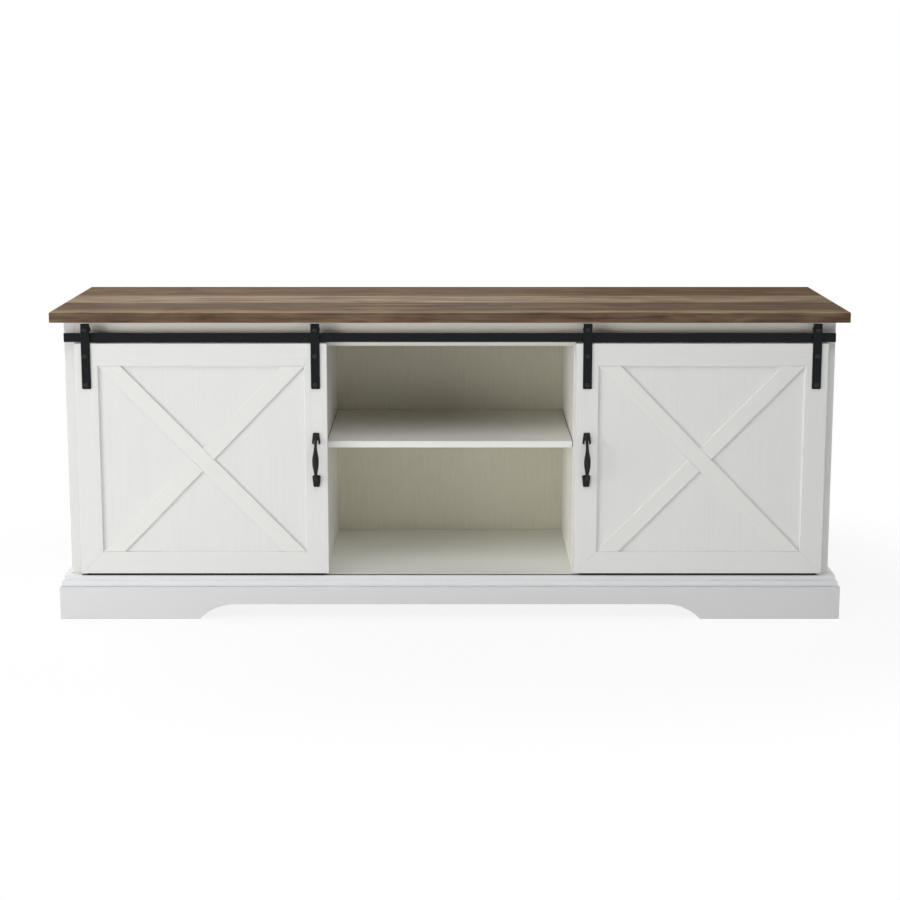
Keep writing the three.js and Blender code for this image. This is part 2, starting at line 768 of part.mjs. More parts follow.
/** One door with its hangers, wheels, guides and handle, round the door's own centre. */
function addDoor(name, hand) {
  const door = new THREE.Group();
  door.position.set(hand * (doorInnerEdge + doorWidth / 2) + doorDrift, doorFrontY, doorMidZ);
  stand.add(door);
  const stileX = doorWidth / 2 - frameWidth / 2;
  const part = (suffix, geometry, material, x, y, z) =>
    place(door, `door_${name}_${suffix}`, geometry, material, x, y, z);

  // Frame: a quarter turn about Y takes the bottom rail to the left stile.
  const halfW = doorWidth / 2;
  const halfH = doorHeight / 2;
  part('bottom_rail', frameMember(doorWidth, halfH, 0), whiteWash);
  const holes = [...boltHoles(-stileX), ...boltHoles(stileX)];
  part('top_rail', cut(frameMember(doorWidth, halfH, Math.PI), ...holes), whiteWash);
  const leftStile = cut(frameMember(doorHeight, halfW, Math.PI / 2), ...holes);
  const rightStile = cut(frameMember(doorHeight, halfW, -Math.PI / 2), ...holes);
  part(hand < 0 ? 'outer_stile' : 'inner_stile', leftStile, whiteWash);
  part(hand < 0 ? 'inner_stile' : 'outer_stile', rightStile, whiteWash);

  const housed = 2 * (frameWidth - panelHousing + runningGap);
  const panel = easedRectangle(doorWidth - housed, doorHeight - housed, sheetEase);
  part('panel', frontPlate(panel, panelThickness, 0), whiteWash, 0, panelRecess, 0);

  const braces = braceOutlines();
  for (const [suffix, points] of Object.entries(braces)) {
    const geometry = frontPlate(outline(points), panelRecess - braceRelief, steelEase);
    part(`brace_${suffix}`, geometry, whiteWash, 0, braceRelief, 0);
  }

  part('handle', handle(), castIron, -hand * stileX, 0, 0);
  part('guide', bottomGuide(), blackNylon, 0, doorThickness / 2, -halfH);

  for (const [spot, outward] of [['outer', 1], ['inner', -1]]) {
    const x = hand * outward * stileX;
    part(`${spot}_strap`, hangerStrap(), blackSteel, x, 0, strapTop - doorMidZ);
    part(`${spot}_axle`, wheelAxle(), blackSteel, x, 0, axleZ - doorMidZ);
    part(`${spot}_wheel`, wheel(), blackNylon, x, wheelMidY - doorFrontY, axleZ - doorMidZ);
  }
}

// ---------------------------------------------------------------- assembly

addTop();
addSidePanels();
addDividers();
addFascia();
addRearTopRail();
addBackPanels();
addShelves();
addSlab();
addPlinth();
addCentreFoot();
addTrack();
addStandoffs();
for (const [name, hand] of sides) addDoor(name, hand);

export default stand;
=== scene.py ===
"""A farmhouse TV stand: plank-printed top, white-washed carcass and rolling barn doors.

Everything is in metres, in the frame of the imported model: X to the right along the
length, Y to the back, Z up, with the floor at Z = 0.
"""

import json
import logging
import math
from collections.abc import Callable, Iterator, Sequence
from contextlib import contextmanager
from dataclasses import dataclass, field
from enum import Enum

import bpy
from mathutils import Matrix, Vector

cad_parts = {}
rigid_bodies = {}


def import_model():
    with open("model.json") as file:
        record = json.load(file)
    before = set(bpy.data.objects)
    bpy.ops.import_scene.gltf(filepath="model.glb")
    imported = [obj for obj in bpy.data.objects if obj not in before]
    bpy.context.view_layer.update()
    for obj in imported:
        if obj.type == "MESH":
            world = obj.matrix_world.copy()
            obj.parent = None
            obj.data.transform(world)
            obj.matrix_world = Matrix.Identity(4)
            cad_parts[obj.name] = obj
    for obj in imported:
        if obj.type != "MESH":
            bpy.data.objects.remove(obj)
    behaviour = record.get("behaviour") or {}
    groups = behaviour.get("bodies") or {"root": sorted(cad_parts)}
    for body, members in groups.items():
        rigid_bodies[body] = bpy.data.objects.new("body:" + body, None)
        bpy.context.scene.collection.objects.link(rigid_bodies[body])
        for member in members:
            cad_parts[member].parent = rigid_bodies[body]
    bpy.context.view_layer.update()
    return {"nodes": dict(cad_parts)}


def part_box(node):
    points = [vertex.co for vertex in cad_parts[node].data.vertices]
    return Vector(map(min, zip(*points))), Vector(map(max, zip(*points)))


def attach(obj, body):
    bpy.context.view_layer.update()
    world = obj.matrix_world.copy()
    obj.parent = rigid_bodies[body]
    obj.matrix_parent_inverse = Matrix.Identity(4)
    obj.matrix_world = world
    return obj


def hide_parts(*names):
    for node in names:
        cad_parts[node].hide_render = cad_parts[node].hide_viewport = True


LOG = logging.getLogger("tv_stand")
MM = 0.001
TOUCH = 0.01 * MM  # places nearer than this are one place
MERGE = 0.002 * MM  # points nearer than this are merged
SQUARE = 0.9  # a direction with more than this along an axis runs along it
TILT = 0.5  # a face whose normal has more than this along an axis is finished as facing it
BRACE_SLOPE = 44.3  # degrees
WHITE = (1.0, 1.0, 1.0, 1.0)

Node = bpy.types.Node
Socket = bpy.types.NodeSocket
Colour = tuple[float, float, float, float]
Stops = tuple[tuple[float, str], ...]


# ------------------------------------------------------------------ shared tools


def linear(code: str) -> Colour:
    """Turns an sRGB hex code into a linear colour.

    Args:
        code: The colour as "#rrggbb".

    Returns:
        Red, green, blue and alpha, linear, from 0 to 1.
    """
    channels = [int(code[i:i + 2], 16) / 255 for i in (1, 3, 5)]
    red, green, blue = (
        c / 12.92 if c <= 0.04045 else ((c + 0.055) / 1.055) ** 2.4 for c in channels
    )
    return red, green, blue, 1.0


def add_node(
    tree: bpy.types.NodeTree, kind: str, inputs: dict | None = None, **settings: object
) -> bpy.types.Node:
    """Adds one node with its settings, input values and links.

    Args:
        tree: The node tree to add to.
        kind: The node's type name.
        inputs: Input name or number to a value, or to the output that feeds it. A node
            feeds it from its first output.
        **settings: Properties of the node; "stops" sets a colour ramp's places.

    Returns:
        The new node.
    """
    node = tree.nodes.new(kind)
    for name, value in settings.items():
        if name == "stops":
            elements = node.color_ramp.elements
            while len(elements) < len(value):
                elements.new(1.0)
            for element, (place, colour) in zip(elements, value):
                element.position = place
                element.color = linear(colour)
        else:
            setattr(node, name, value)
    for key, value in (inputs or {}).items():
        if isinstance(value, bpy.types.Node):
            value = value.outputs[0]
        if isinstance(value, Socket):
            tree.links.new(value, node.inputs[key])
        else:
            node.inputs[key].default_value = value
    return node


def per_metre(size_mm: float) -> float:
    """Gives the pattern scale, in repeats a metre, of a feature this many mm across."""
    return 1 / MM / size_mm


def blank_tree(owner: bpy.types.Material | bpy.types.World) -> bpy.types.NodeTree:
    """Empties the node tree of a new material or world.

    Args:
        owner: The material or world.

    Returns:
        Its empty node tree.
    """
    owner.use_nodes = True
    owner.node_tree.nodes.clear()
    return owner.node_tree


class Grain(Enum):
    """The way a board's grain runs, as the turn that brings it onto X."""

    ALONG_LENGTH = (0.0, 0.0, 0.0)
    ALONG_DEPTH = (0.0, 0.0, math.radians(-90))
    UPRIGHT = (0.0, math.radians(90), 0.0)
    FALLING = (0.0, math.radians(-BRACE_SLOPE), 0.0)
    RISING = (0.0, math.radians(BRACE_SLOPE), 0.0)


def streaks(
    tree: bpy.types.NodeTree,
    place: Node,
    width_mm: float,
    length_mm: float,
    detail: float = 3.0,
    distortion: float = 0.0,
) -> Node:
    """Draws noise stretched along X, as fibres are.

    Args:
        tree: The material's node tree.
        place: What gives the coordinates, in metres, with the grain along X.
        width_mm: How wide one streak is.
        length_mm: How long one streak is.
        detail: How many finer layers lie on it.
        distortion: How much the streaks waver.

    Returns:
        The noise, from 0 to 1.
    """
    across = per_metre(width_mm)
    stretched = add_node(
        tree, "ShaderNodeMapping",
        {"Vector": place, "Scale": (per_metre(length_mm), across, across)},
    )
    return add_node(
        tree, "ShaderNodeTexNoise",
        {"Vector": stretched, "Scale": 1.0, "Detail": detail, "Roughness": 0.55,
         "Distortion": distortion},
    )


# ------------------------------------------------------------------ finishes


@dataclass(frozen=True)
class Surface:
    """What a finish's pattern gives: its colour, and a relief from 0 to 1 with its depth."""

    colour: Socket
    height: Node
    depth_mm: float
    strength: float


@dataclass(frozen=True)
class Finish:
    """What every finish has: its name, its gloss and a way to build it."""

    name: str
    roughness: float
    specular: float

    def material(self) -> bpy.types.Material:
        """Builds the material.

        Returns:
            The finished node material.
        """
        material = bpy.data.materials.new(self.name)
        tree = blank_tree(material)
        surface = self.paint(tree)
        bump = add_node(
            tree, "ShaderNodeBump",
            {"Height": surface.height, "Distance": surface.depth_mm * MM,
             "Strength": surface.strength},
        )
        shader = add_node(
            tree, "ShaderNodeBsdfPrincipled",
            {"Base Color": surface.colour, "Normal": bump, "Roughness": self.roughness,
             "Specular IOR Level": self.specular},
        )
        add_node(tree, "ShaderNodeOutputMaterial", {"Surface": shader})
        return material

    def paint(self, tree: bpy.types.NodeTree) -> Surface:
        """Adds the finish's own pattern and relief.

        Args:
            tree: The material's node tree.

        Returns:
            The colour and the relief.
        """
        raise NotImplementedError


@dataclass(frozen=True)
class WhiteWash(Finish):
    """White-washed laminate: printed paper pressed with a brushed wood grain.

    The wash lies thinner on the ridges of the grain, so faint grey lines run along
    each board, and the pressed pores break up the low sheen. A board can have another
    colour on its front and back edges, the band, and on its ends, the raw end.
    """

    grain: Grain = Grain.UPRIGHT
    body: str = "#e7e7e5"
    line: str = "#d3d2ce"
    band: str = ""
    raw_end: str = ""
    line_width_mm: float = 2.6
    line_length_mm: float = 140.0
    line_start: float = 0.46
    line_end: float = 0.74
    pore_width_mm: float = 1.1
    pore_length_mm: float = 26.0
    pore_depth_mm: float = 0.06
    cloud_width_mm: float = 60.0
    cloud_length_mm: float = 360.0
    contrast: float = 0.34

    def paint(self, tree: bpy.types.NodeTree) -> Surface:
        """Adds the grain lines, the cloudy wash and the pressed pores.

        Args:
            tree: The material's node tree.

        Returns:
            The colour and the relief.
        """
        where = add_node(tree, "ShaderNodeTexCoord").outputs
        place = add_node(
            tree, "ShaderNodeMapping", {"Vector": where["Object"], "Rotation": self.grain.value}
        )
        lines = streaks(
            tree, place, self.line_width_mm, self.line_length_mm, detail=4.0, distortion=0.4
        )
        pores = streaks(tree, place, self.pore_width_mm, self.pore_length_mm, detail=2.0)
        cloud = streaks(
            tree, place, self.cloud_width_mm, self.cloud_length_mm, detail=2.0, distortion=0.8
        )
        share = add_node(
            tree, "ShaderNodeMapRange",
            {"Value": lines, "From Min": self.line_start, "From Max": self.line_end,
             "To Min": 0.0, "To Max": self.contrast},
        )
        amount = add_node(tree, "ShaderNodeMath", {0: share, 1: cloud}, operation="MULTIPLY")
        colour = add_node(
            tree, "ShaderNodeMix", {0: amount, 6: linear(self.body), 7: linear(self.line)},
            data_type="RGBA",
        ).outputs[2]
        normal = add_node(tree, "ShaderNodeSeparateXYZ", {0: where["Normal"]}).outputs
        for level, cover in ((normal["Y"], self.band), (normal["X"], self.raw_end)):
            if cover:
                colour = self.covered(tree, level, colour, cover)
        return Surface(colour, pores, self.pore_depth_mm, self.contrast / 2)

    @staticmethod
    def covered(tree: bpy.types.NodeTree, level: Socket, colour: Socket, cover: str) -> Socket:
        """Gives the two faces across one axis another colour, as an edge band does.

        Args:
            tree: The material's node tree.
            level: How far a face looks along that axis, from -1 to 1.
            colour: The colour of the other faces.
            cover: The colour of these two, as a hex code.

        Returns:
            The colour of the whole board.
        """
        either = add_node(tree, "ShaderNodeMath", {0: level}, operation="ABSOLUTE")
        on_edge = add_node(
            tree, "ShaderNodeMath", {0: either, 1: TILT}, operation="GREATER_THAN"
        )
        return add_node(
            tree, "ShaderNodeMix", {0: on_edge, 6: colour, 7: linear(cover)}, data_type="RGBA"
        ).outputs[2]


@dataclass(frozen=True)
class PrintedPlanks(Finish):
    """Weathered plank print on a laminated board, with an embossed grain.

    Boards of different tone lie side by side along the top. Each is brown-grey with
    long pale and dark fibres and slow patches of umber and olive. The seams are counted
    from the board's front edge, and each plank shows another stretch of the print.
    """

    front: float = 0.0
    seams_mm: tuple[float, ...] = (29.0, 148.0, 256.0, 394.0)
    tones: tuple[str, ...] = ("#9a866e", "#705d49", "#9f8c74", "#6f593f", "#58452e")
    edge_tone: str = "#6a594a"
    print_shift: float = 3.71
    patch_width_mm: float = 24.0
    patch_length_mm: float = 120.0
    patch_stops: Stops = ((0.34, "#9a9891"), (0.44, "#bab0af"), (0.53, "#bcbcbc"), (0.66, "#d0d1c7"))
    streak_width_mm: float = 11.0
    streak_length_mm: float = 300.0
    streak_stops: Stops = ((0.34, "#a0a0a0"), (0.5, "#bcbcbc"), (0.66, "#d6d6d6"))
    fibre_width_mm: float = 3.2
    fibre_length_mm: float = 150.0
    fibre_stops: Stops = ((0.3, "#ababab"), (0.52, "#bcbcbc"), (0.72, "#cecece"))
    fibre_depth_mm: float = 0.08
    relief: float = 0.4

    def paint(self, tree: bpy.types.NodeTree) -> Surface:
        """Adds the planks, their fibres and patches, and the banded edge.

        Args:
            tree: The material's node tree.

        Returns:
            The colour and the relief.
        """
        where = add_node(tree, "ShaderNodeTexCoord").outputs
        axes = add_node(tree, "ShaderNodeSeparateXYZ", {0: where["Object"]}).outputs
        normal = add_node(tree, "ShaderNodeSeparateXYZ", {0: where["Normal"]}).outputs
        depth = add_node(
            tree, "ShaderNodeMath", {0: axes["Y"], 1: self.front}, operation="SUBTRACT"
        )
        number = self.plank_number(tree, depth)
        sideways = add_node(tree, "ShaderNodeMath", {0: normal["X"]}, operation="ABSOLUTE")
        along, across = (
            add_node(
                tree, "ShaderNodeMix", {0: sideways, 2: axes[plain], 3: axes[on_end]},
                data_type="FLOAT",
            )
            for plain, on_end in (("X", "Y"), ("Y", "X"))
        )
        shifted = add_node(
            tree, "ShaderNodeMath", {0: number, 1: self.print_shift, 2: along},
            operation="MULTIPLY_ADD",
        )
        place = add_node(
            tree, "ShaderNodeCombineXYZ", {"X": shifted, "Y": across, "Z": axes["Z"]}
        )
        patches = streaks(
            tree, place, self.patch_width_mm, self.patch_length_mm, distortion=0.5
        )
        broad = streaks(
            tree, place, self.streak_width_mm, self.streak_length_mm, distortion=0.6
        )
        fibres = streaks(
            tree, place, self.fibre_width_mm, self.fibre_length_mm, detail=4.0, distortion=0.3
        )
        colour = self.plank_tone(tree, number, normal["Z"])
        for pattern, stops in (
            (patches, self.patch_stops), (broad, self.streak_stops), (fibres, self.fibre_stops)
        ):
            shade = add_node(tree, "ShaderNodeValToRGB", {0: pattern}, stops=stops)
            colour = add_node(
                tree, "ShaderNodeMix", {0: 1.0, 6: colour, 7: shade},
                data_type="RGBA", blend_type="OVERLAY",
            ).outputs[2]
        return Surface(colour, fibres, self.fibre_depth_mm, self.relief)

    def plank_number(self, tree: bpy.types.NodeTree, depth: Node) -> Node:
        """Counts the seams in front of a point.

        Args:
            tree: The material's node tree.
            depth: The distance behind the top's front edge, in metres.

        Returns:
            The plank's number, from 0 at the front.
        """
        past = [
            add_node(tree, "ShaderNodeMath", {0: depth, 1: seam * MM}, operation="GREATER_THAN")
            for seam in self.seams_mm
        ]
        total = past[0]
        for step in past[1:]:
            total = add_node(tree, "ShaderNodeMath", {0: total, 1: step}, operation="ADD")
        return total

    def plank_tone(self, tree: bpy.types.NodeTree, number: Node, up: Socket) -> Socket:
        """Gives each plank its tone, and the faces that don't look up the edge's tone.

        Args:
            tree: The material's node tree.
            number: The plank's number.
            up: How far a face looks up, from -1 to 1.

        Returns:
            The tone.
        """
        count = len(self.tones)
        share = add_node(
            tree, "ShaderNodeMath", {0: number, 1: 1 / count, 2: 0.5 / count},
            operation="MULTIPLY_ADD",
        )
        stops = [(i / count, tone) for i, tone in enumerate(self.tones)]
        plank = add_node(tree, "ShaderNodeValToRGB", {0: share}, stops=stops)
        plank.color_ramp.interpolation = "CONSTANT"
        on_edge = add_node(tree, "ShaderNodeMath", {0: up, 1: TILT}, operation="LESS_THAN")
        return add_node(
            tree, "ShaderNodeMix", {0: on_edge, 6: plank, 7: linear(self.edge_tone)},
            data_type="RGBA",
        ).outputs[2]


@dataclass(frozen=True)
class BackBoard(Finish):
    """Thin fibreboard: a warm white printed face, whose warm olive tone is partly the print and
    partly a painted tint of the shade inside the bays, and the raw brown board behind.
    """

    # the face's warm olive tone is partly the print and partly a painted tint of the bays' shade
    face: str = "#dcd8c6"
    line: str = "#b9b39b"
    raw: str = "#8f7355"
    raw_fibre: str = "#6f5740"
    line_width_mm: float = 1.9
    line_length_mm: float = 75.0
    line_start: float = 0.45
    line_end: float = 0.75
    contrast: float = 0.32
    fibre_mm: float = 1.6
    fibre_depth_mm: float = 0.05
    relief: float = 0.25

    def paint(self, tree: bpy.types.NodeTree) -> Surface:
        """Adds the printed grain in front and the pressed fibres behind.

        Args:
            tree: The material's node tree.

        Returns:
            The colour and the relief.
        """
        where = add_node(tree, "ShaderNodeTexCoord").outputs
        place = add_node(
            tree, "ShaderNodeMapping",
            {"Vector": where["Object"], "Rotation": Grain.UPRIGHT.value},
        )
        lines = streaks(
            tree, place, self.line_width_mm, self.line_length_mm, detail=4.0, distortion=0.3
        )
        share = add_node(
            tree, "ShaderNodeMapRange",
            {"Value": lines, "From Min": self.line_start, "From Max": self.line_end,
             "To Min": 0.0, "To Max": self.contrast},
        )
        fibres = add_node(
            tree, "ShaderNodeTexNoise",
            {"Vector": where["Object"], "Scale": per_metre(self.fibre_mm), "Detail": 3.0},
        )
        printed, pressed = (
            add_node(
                tree, "ShaderNodeMix", {0: amount, 6: linear(body), 7: linear(mark)},
                data_type="RGBA",
            ).outputs[2]
            for amount, body, mark in (
                (share, self.face, self.line), (fibres, self.raw, self.raw_fibre)
            )
        )
        normal = add_node(tree, "ShaderNodeSeparateXYZ", {0: where["Normal"]}).outputs
        behind = add_node(
            tree, "ShaderNodeMath", {0: normal["Y"], 1: -TILT}, operation="GREATER_THAN"
        )
        colour = add_node(
            tree, "ShaderNodeMix", {0: behind, 6: printed, 7: pressed}, data_type="RGBA"
        ).outputs[2]
        return Surface(colour, fibres, self.fibre_depth_mm, self.relief)


@dataclass(frozen=True)
class BlackCoat(Finish):
    """Black on metal or nylon: powder coat, casting paint or moulded texture.

    A fine relief scatters the highlight: soft orange peel on powder coat, sand grain
    on a casting, spark texture on a moulding.
    """

    body: str = "#0a0d0f"
    bloom: str = "#0f1315"
    bloom_mm: float = 14.0
    grain_mm: float = 1.4
    depth_mm: float = 0.05
    relief: float = 0.3

    def paint(self, tree: bpy.types.NodeTree) -> Surface:
        """Adds the relief and the slight bloom of the coat.

        Args:
            tree: The material's node tree.

        Returns:
            The colour and the relief.
        """
        where = add_node(tree, "ShaderNodeTexCoord").outputs
        bloom, grit = (
            add_node(
                tree, "ShaderNodeTexNoise",
                {"Vector": where["Object"], "Scale": per_metre(size_mm), "Detail": detail},
            )
            for size_mm, detail in ((self.bloom_mm, 4.0), (self.grain_mm, 2.0))
        )
        colour = add_node(
            tree, "ShaderNodeMix", {0: bloom, 6: linear(self.body), 7: linear(self.bloom)},
            data_type="RGBA",
        ).outputs[2]
        return Surface(colour, grit, self.depth_mm, self.relief)


class Palette:
    """Every finish on the stand, each built once."""

    def __init__(self) -> None:
        """Builds the materials."""
        # The boards inside the bays take a lighter, warmer copy of the white wash: painted light and
        # a painted warm tint of the shade there; their front and back edges get a lighter neutral
        # band.
        shade_tint = {"body": "#ebeae3", "line": "#dcd9ce", "band": "#efefed"}
        foil = {"line_width_mm": 9.0, "contrast": 0.15}
        self.planks = PrintedPlanks(
            "weathered_plank_laminate", 0.6, 0.02, front=node_box("top_board")[0].y
        ).material()
        self.white = self.washed(
            "white_wash_laminate", 0.45, 0.35, Grain.UPRIGHT, Grain.ALONG_LENGTH
        )
        self.inner = {
            **self.washed("shade_tinted_white_lining", 0.5, 0.3, Grain.UPRIGHT, **shade_tint),
            **self.washed(
                "shade_tinted_white_lining", 0.5, 0.3, Grain.ALONG_LENGTH, raw_end="#4b3d2d", **shade_tint
            ),
        }
        self.moulding = self.washed(
            "foil_wrapped_moulding", 0.42, 0.35, Grain.ALONG_LENGTH, Grain.ALONG_DEPTH,
            body="#dddedd", line="#d4d4d3", **foil,
        )
        self.slab_edge = WhiteWash(
            "foil_wrapped_slab_edge", 0.42, 0.35, Grain.ALONG_LENGTH,
            body="#e6e8e9", line="#dcdedf", **foil,
        ).material()
        self.brace = self.washed(
            "cream_white_brace", 0.45, 0.35, Grain.FALLING, Grain.RISING,
            body="#e9e9e6", line="#d7d6d0",
        )
        # The fascia's finish is painted light: a lighter, warmer copy of the white wash that stands
        # in for the warm bounce light under the top.
        self.fascia = WhiteWash(
            "painted_light_warm_fascia", 0.45, 0.35, Grain.ALONG_LENGTH, body="#f0ece3", line="#dcd7cc"
        ).material()
        # The slab's level top is painted light: a lighter, warmer copy of the white wash that
        # brightens the bay floors and tints them as their bounce light does.
        self.painted_light_floor = WhiteWash(
            "painted_light_floor_white_wash", 0.5, 0.3, Grain.ALONG_LENGTH, body="#efefea", line="#e0ded5"
        ).material()
        self.back_board = BackBoard("shade_tinted_printed_fibreboard", 0.6, 0.3).material()
        self.powder_coat = BlackCoat("black_powder_coat", 0.48, 0.12).material()
        self.bolt = BlackCoat(
            "black_oxide_bolt", 0.36, 0.3, body="#0a0b0c", bloom="#0e1011",
            grain_mm=0.5, depth_mm=0.01, relief=0.2,
        ).material()
        self.casting = BlackCoat(
            "painted_sand_casting", 0.5, 0.2, body="#0f1111", bloom="#161818",
            grain_mm=1.1, depth_mm=0.12, relief=0.45,
        ).material()
        self.nylon = BlackCoat(
            "spark_textured_nylon", 0.5, 0.2, body="#0f1010", bloom="#141515",
            grain_mm=0.6, depth_mm=0.03, relief=0.3,
        ).material()

    @staticmethod
    def washed(
        name: str, roughness: float, specular: float, *grains: Grain, **look: object
    ) -> dict[Grain, bpy.types.Material]:
        """Builds one white-wash finish in several grain directions.

        Args:
            name: The finish's name, which each direction's name follows.
            roughness: Its roughness.
            specular: Its sheen.
            *grains: The directions.
            **look: What differs from the plain white wash.

        Returns:
            The material of each direction.
        """
        return {
            grain: WhiteWash(
                f"{name}_{grain.name.lower()}", roughness, specular, grain, **look
            ).material()
            for grain in grains
        }


def dress(node: bpy.types.Object, material: bpy.types.Material) -> None:
    """Gives a piece its one material.

    Args:
        node: The piece.
        material: Its finish.
    """
    node.data.materials.clear()
    node.data.materials.append(material)


# ------------------------------------------------------------------ the bench


class Pick(Enum):
    """What a selection takes."""

    POINTS = "VERT"
    EDGES = "EDGE"
    FACES = "FACE"


def select_only(*pieces: bpy.types.Object) -> None:
    """Selects these pieces and no others.

    Args:
        *pieces: The pieces; the first is the active one.
    """
    bpy.ops.object.select_all(action="DESELECT")
    for piece in pieces:
        piece.select_set(True)
    bpy.context.view_layer.objects.active = pieces[0]


@contextmanager
def open_piece(piece: bpy.types.Object) -> Iterator[None]:
    """Opens one piece in edit mode, and closes it after the work.

    Args:
        piece: The piece to work on.
    """
    select_only(piece)
    bpy.ops.object.mode_set(mode="EDIT")
    yield
    bpy.ops.object.mode_set(mode="OBJECT")


def pick(piece: bpy.types.Object, kind: Pick, wanted: Callable[[Vector, Vector], bool]) -> None:
    """Selects points, edges or faces of an open piece by their place and direction.

    Args:
        piece: The piece that is open in edit mode.
        kind: What to select.
        wanted: A test of the middle and the direction: a face's normal, or an
            edge's unit run. A point has its normal.
    """
    bpy.ops.mesh.select_mode(type=kind.value)
    bpy.ops.mesh.select_all(action="DESELECT")
    bpy.ops.object.mode_set(mode="OBJECT")
    mesh = piece.data
    if kind is Pick.FACES:
        for face in mesh.polygons:
            face.select = wanted(face.center, face.normal)
    elif kind is Pick.EDGES:
        for edge in mesh.edges:
            start, end = (mesh.vertices[i].co for i in edge.vertices)
            edge.select = wanted((start + end) / 2, (end - start).normalized())
    else:
        for point in mesh.vertices:
            point.select = wanted(point.co, point.normal)
    bpy.ops.object.mode_set(mode="EDIT")


def push(move: Sequence[float]) -> None:
    """Extrudes the selected faces or edges by a move in metres."""
    bpy.ops.mesh.extrude_region_move(TRANSFORM_OT_translate={"value": tuple(move)})


def pick_level(piece: bpy.types.Object, height: float) -> None:
    """Selects the faces of an open piece that look up at one height."""
    pick(piece, Pick.FACES, lambda at, out: out.z > SQUARE and abs(at.z - height) < TOUCH)


def tidy_shell() -> None:
    """Merges doubled points of the open piece and turns its faces outwards."""
    bpy.ops.mesh.select_all(action="SELECT")
    bpy.ops.mesh.remove_doubles(threshold=MERGE)
    bpy.ops.mesh.normals_make_consistent(inside=False)


def settle(piece: bpy.types.Object, smooth_below: float = 35.0) -> None:
    """Puts a piece's place into its mesh and smooths its round faces.

    Args:
        piece: The piece.
        smooth_below: The widest angle, in degrees, that is shaded smooth.
    """
    select_only(piece)
    bpy.ops.object.transform_apply(location=True, rotation=True, scale=True)
    bpy.ops.object.shade_smooth_by_angle(angle=math.radians(smooth_below))


def apply_modifiers(piece: bpy.types.Object) -> None:
    """Applies every modifier of a piece, in order.

    Args:
        piece: The piece.
    """
    bpy.context.view_layer.objects.active = piece
    for modifier in list(piece.modifiers):
        bpy.ops.object.modifier_apply(modifier=modifier.name)


def solid_block(name: str, middle: Sequence[float], size: Sequence[float]) -> bpy.types.Object:
    """Adds a block at its size and place, to be shaped further.

    Args:
        name: The piece's name.
        middle: Its middle, in metres.
        size: Its size along X, Y and Z, in metres.

    Returns:
        The block.
    """
    bpy.ops.mesh.primitive_cube_add(size=1.0, location=tuple(middle), scale=tuple(size))
    block = bpy.context.object
    block.name = name
    settle(block)
    return block


@contextmanager
def drawn(name: str, line: Sequence[Vector]) -> Iterator[bpy.types.Object]:
    """Draws a line as a new piece, and closes the shell that the work makes of it.

    Args:
        name: The piece's name.
        line: The line's points, in metres.

    Yields:
        The piece, open in edit mode with its line selected.
    """
    bpy.ops.mesh.primitive_plane_add(size=MM, location=tuple(line[0]))
    piece = bpy.context.object
    piece.name = name
    settle(piece)
    with open_piece(piece):
        bpy.ops.mesh.select_all(action="SELECT")
        bpy.ops.mesh.merge(type="CENTER")
    with open_piece(piece):
        bpy.ops.mesh.select_all(action="SELECT")
        for start, end in zip(line, line[1:]):
            bpy.ops.mesh.extrude_vertices_move(
                TRANSFORM_OT_translate={"value": tuple(end - start)}
            )
        bpy.ops.mesh.select_all(action="SELECT")
        yield piece
        tidy_shell()
    settle(piece)


def turned(
    name: str, axis_at: Vector, profile: Sequence[tuple[float, float]], facets: int
) -> bpy.types.Object:
    """Turns a profile round an axis along Y, as on a lathe.

    Args:
        name: The piece's name.
        axis_at: The point on the axis that the profile's lengths start from.
        profile: Radius and length to the back, in millimetres, point by point.
        facets: How many facets there are round a full turn.

    Returns:
        The turned piece.
    """
    line = [axis_at + Vector((radius, along, 0.0)) * MM for radius, along in profile]
    with drawn(name, line) as piece:
        bpy.ops.mesh.spin(
            steps=facets, angle=math.tau, center=tuple(axis_at), axis=(0.0, 1.0, 0.0)
        )
    return piece


def cut_plate(
    name: str, corner: Vector, outline_mm: Sequence[tuple[float, float]], thickness_mm: float
) -> bpy.types.Object:
    """Cuts a plate that faces the front from its outline.

    Args:
        name: The piece's name.
        corner: The point that the outline's sizes start from, on the plate's back.
        outline_mm: The outline, as X and Z in millimetres.
        thickness_mm: How far the plate stands out to the front.

    Returns:
        The plate.
    """
    line = [corner + Vector((across, 0.0, up)) * MM for across, up in outline_mm]
    with drawn(name, line) as piece:
        bpy.ops.mesh.edge_face_add()
        push((0.0, -thickness_mm * MM, 0.0))
    return piece


def arc(
    middle: tuple[float, float], radius: tuple[float, float], start: float, end: float,
    steps: int = 6,
) -> list[tuple[float, float]]:
    """Gives the points of a quarter round or any other arc.

    Args:
        middle: The arc's middle.
        radius: Its radius along the first and the second axis.
        start: Where it starts, in degrees from the first axis.
        end: Where it ends, in degrees.
        steps: How many straight parts it has.

    Returns:
        The points from start to end.
    """
    turns = [math.radians(start + (end - start) * i / steps) for i in range(steps + 1)]
    return [
        (middle[0] + radius[0] * math.cos(a), middle[1] + radius[1] * math.sin(a))
        for a in turns
    ]


def hexagon(name: str, middle: Vector, flats_mm: float, length_mm: float) -> bpy.types.Object:
    """Makes a six-sided bar along Y.

    Args:
        name: The piece's name.
        middle: Its middle.
        flats_mm: The size across its flats.
        length_mm: Its length.

    Returns:
        The bar.
    """
    bpy.ops.mesh.primitive_cylinder_add(
        vertices=6, radius=flats_mm / math.sqrt(3) * MM, depth=length_mm * MM,
        location=tuple(middle), rotation=(math.pi / 2, 0.0, 0.0),
    )
    bar = bpy.context.object
    bar.name = name
    settle(bar)
    return bar


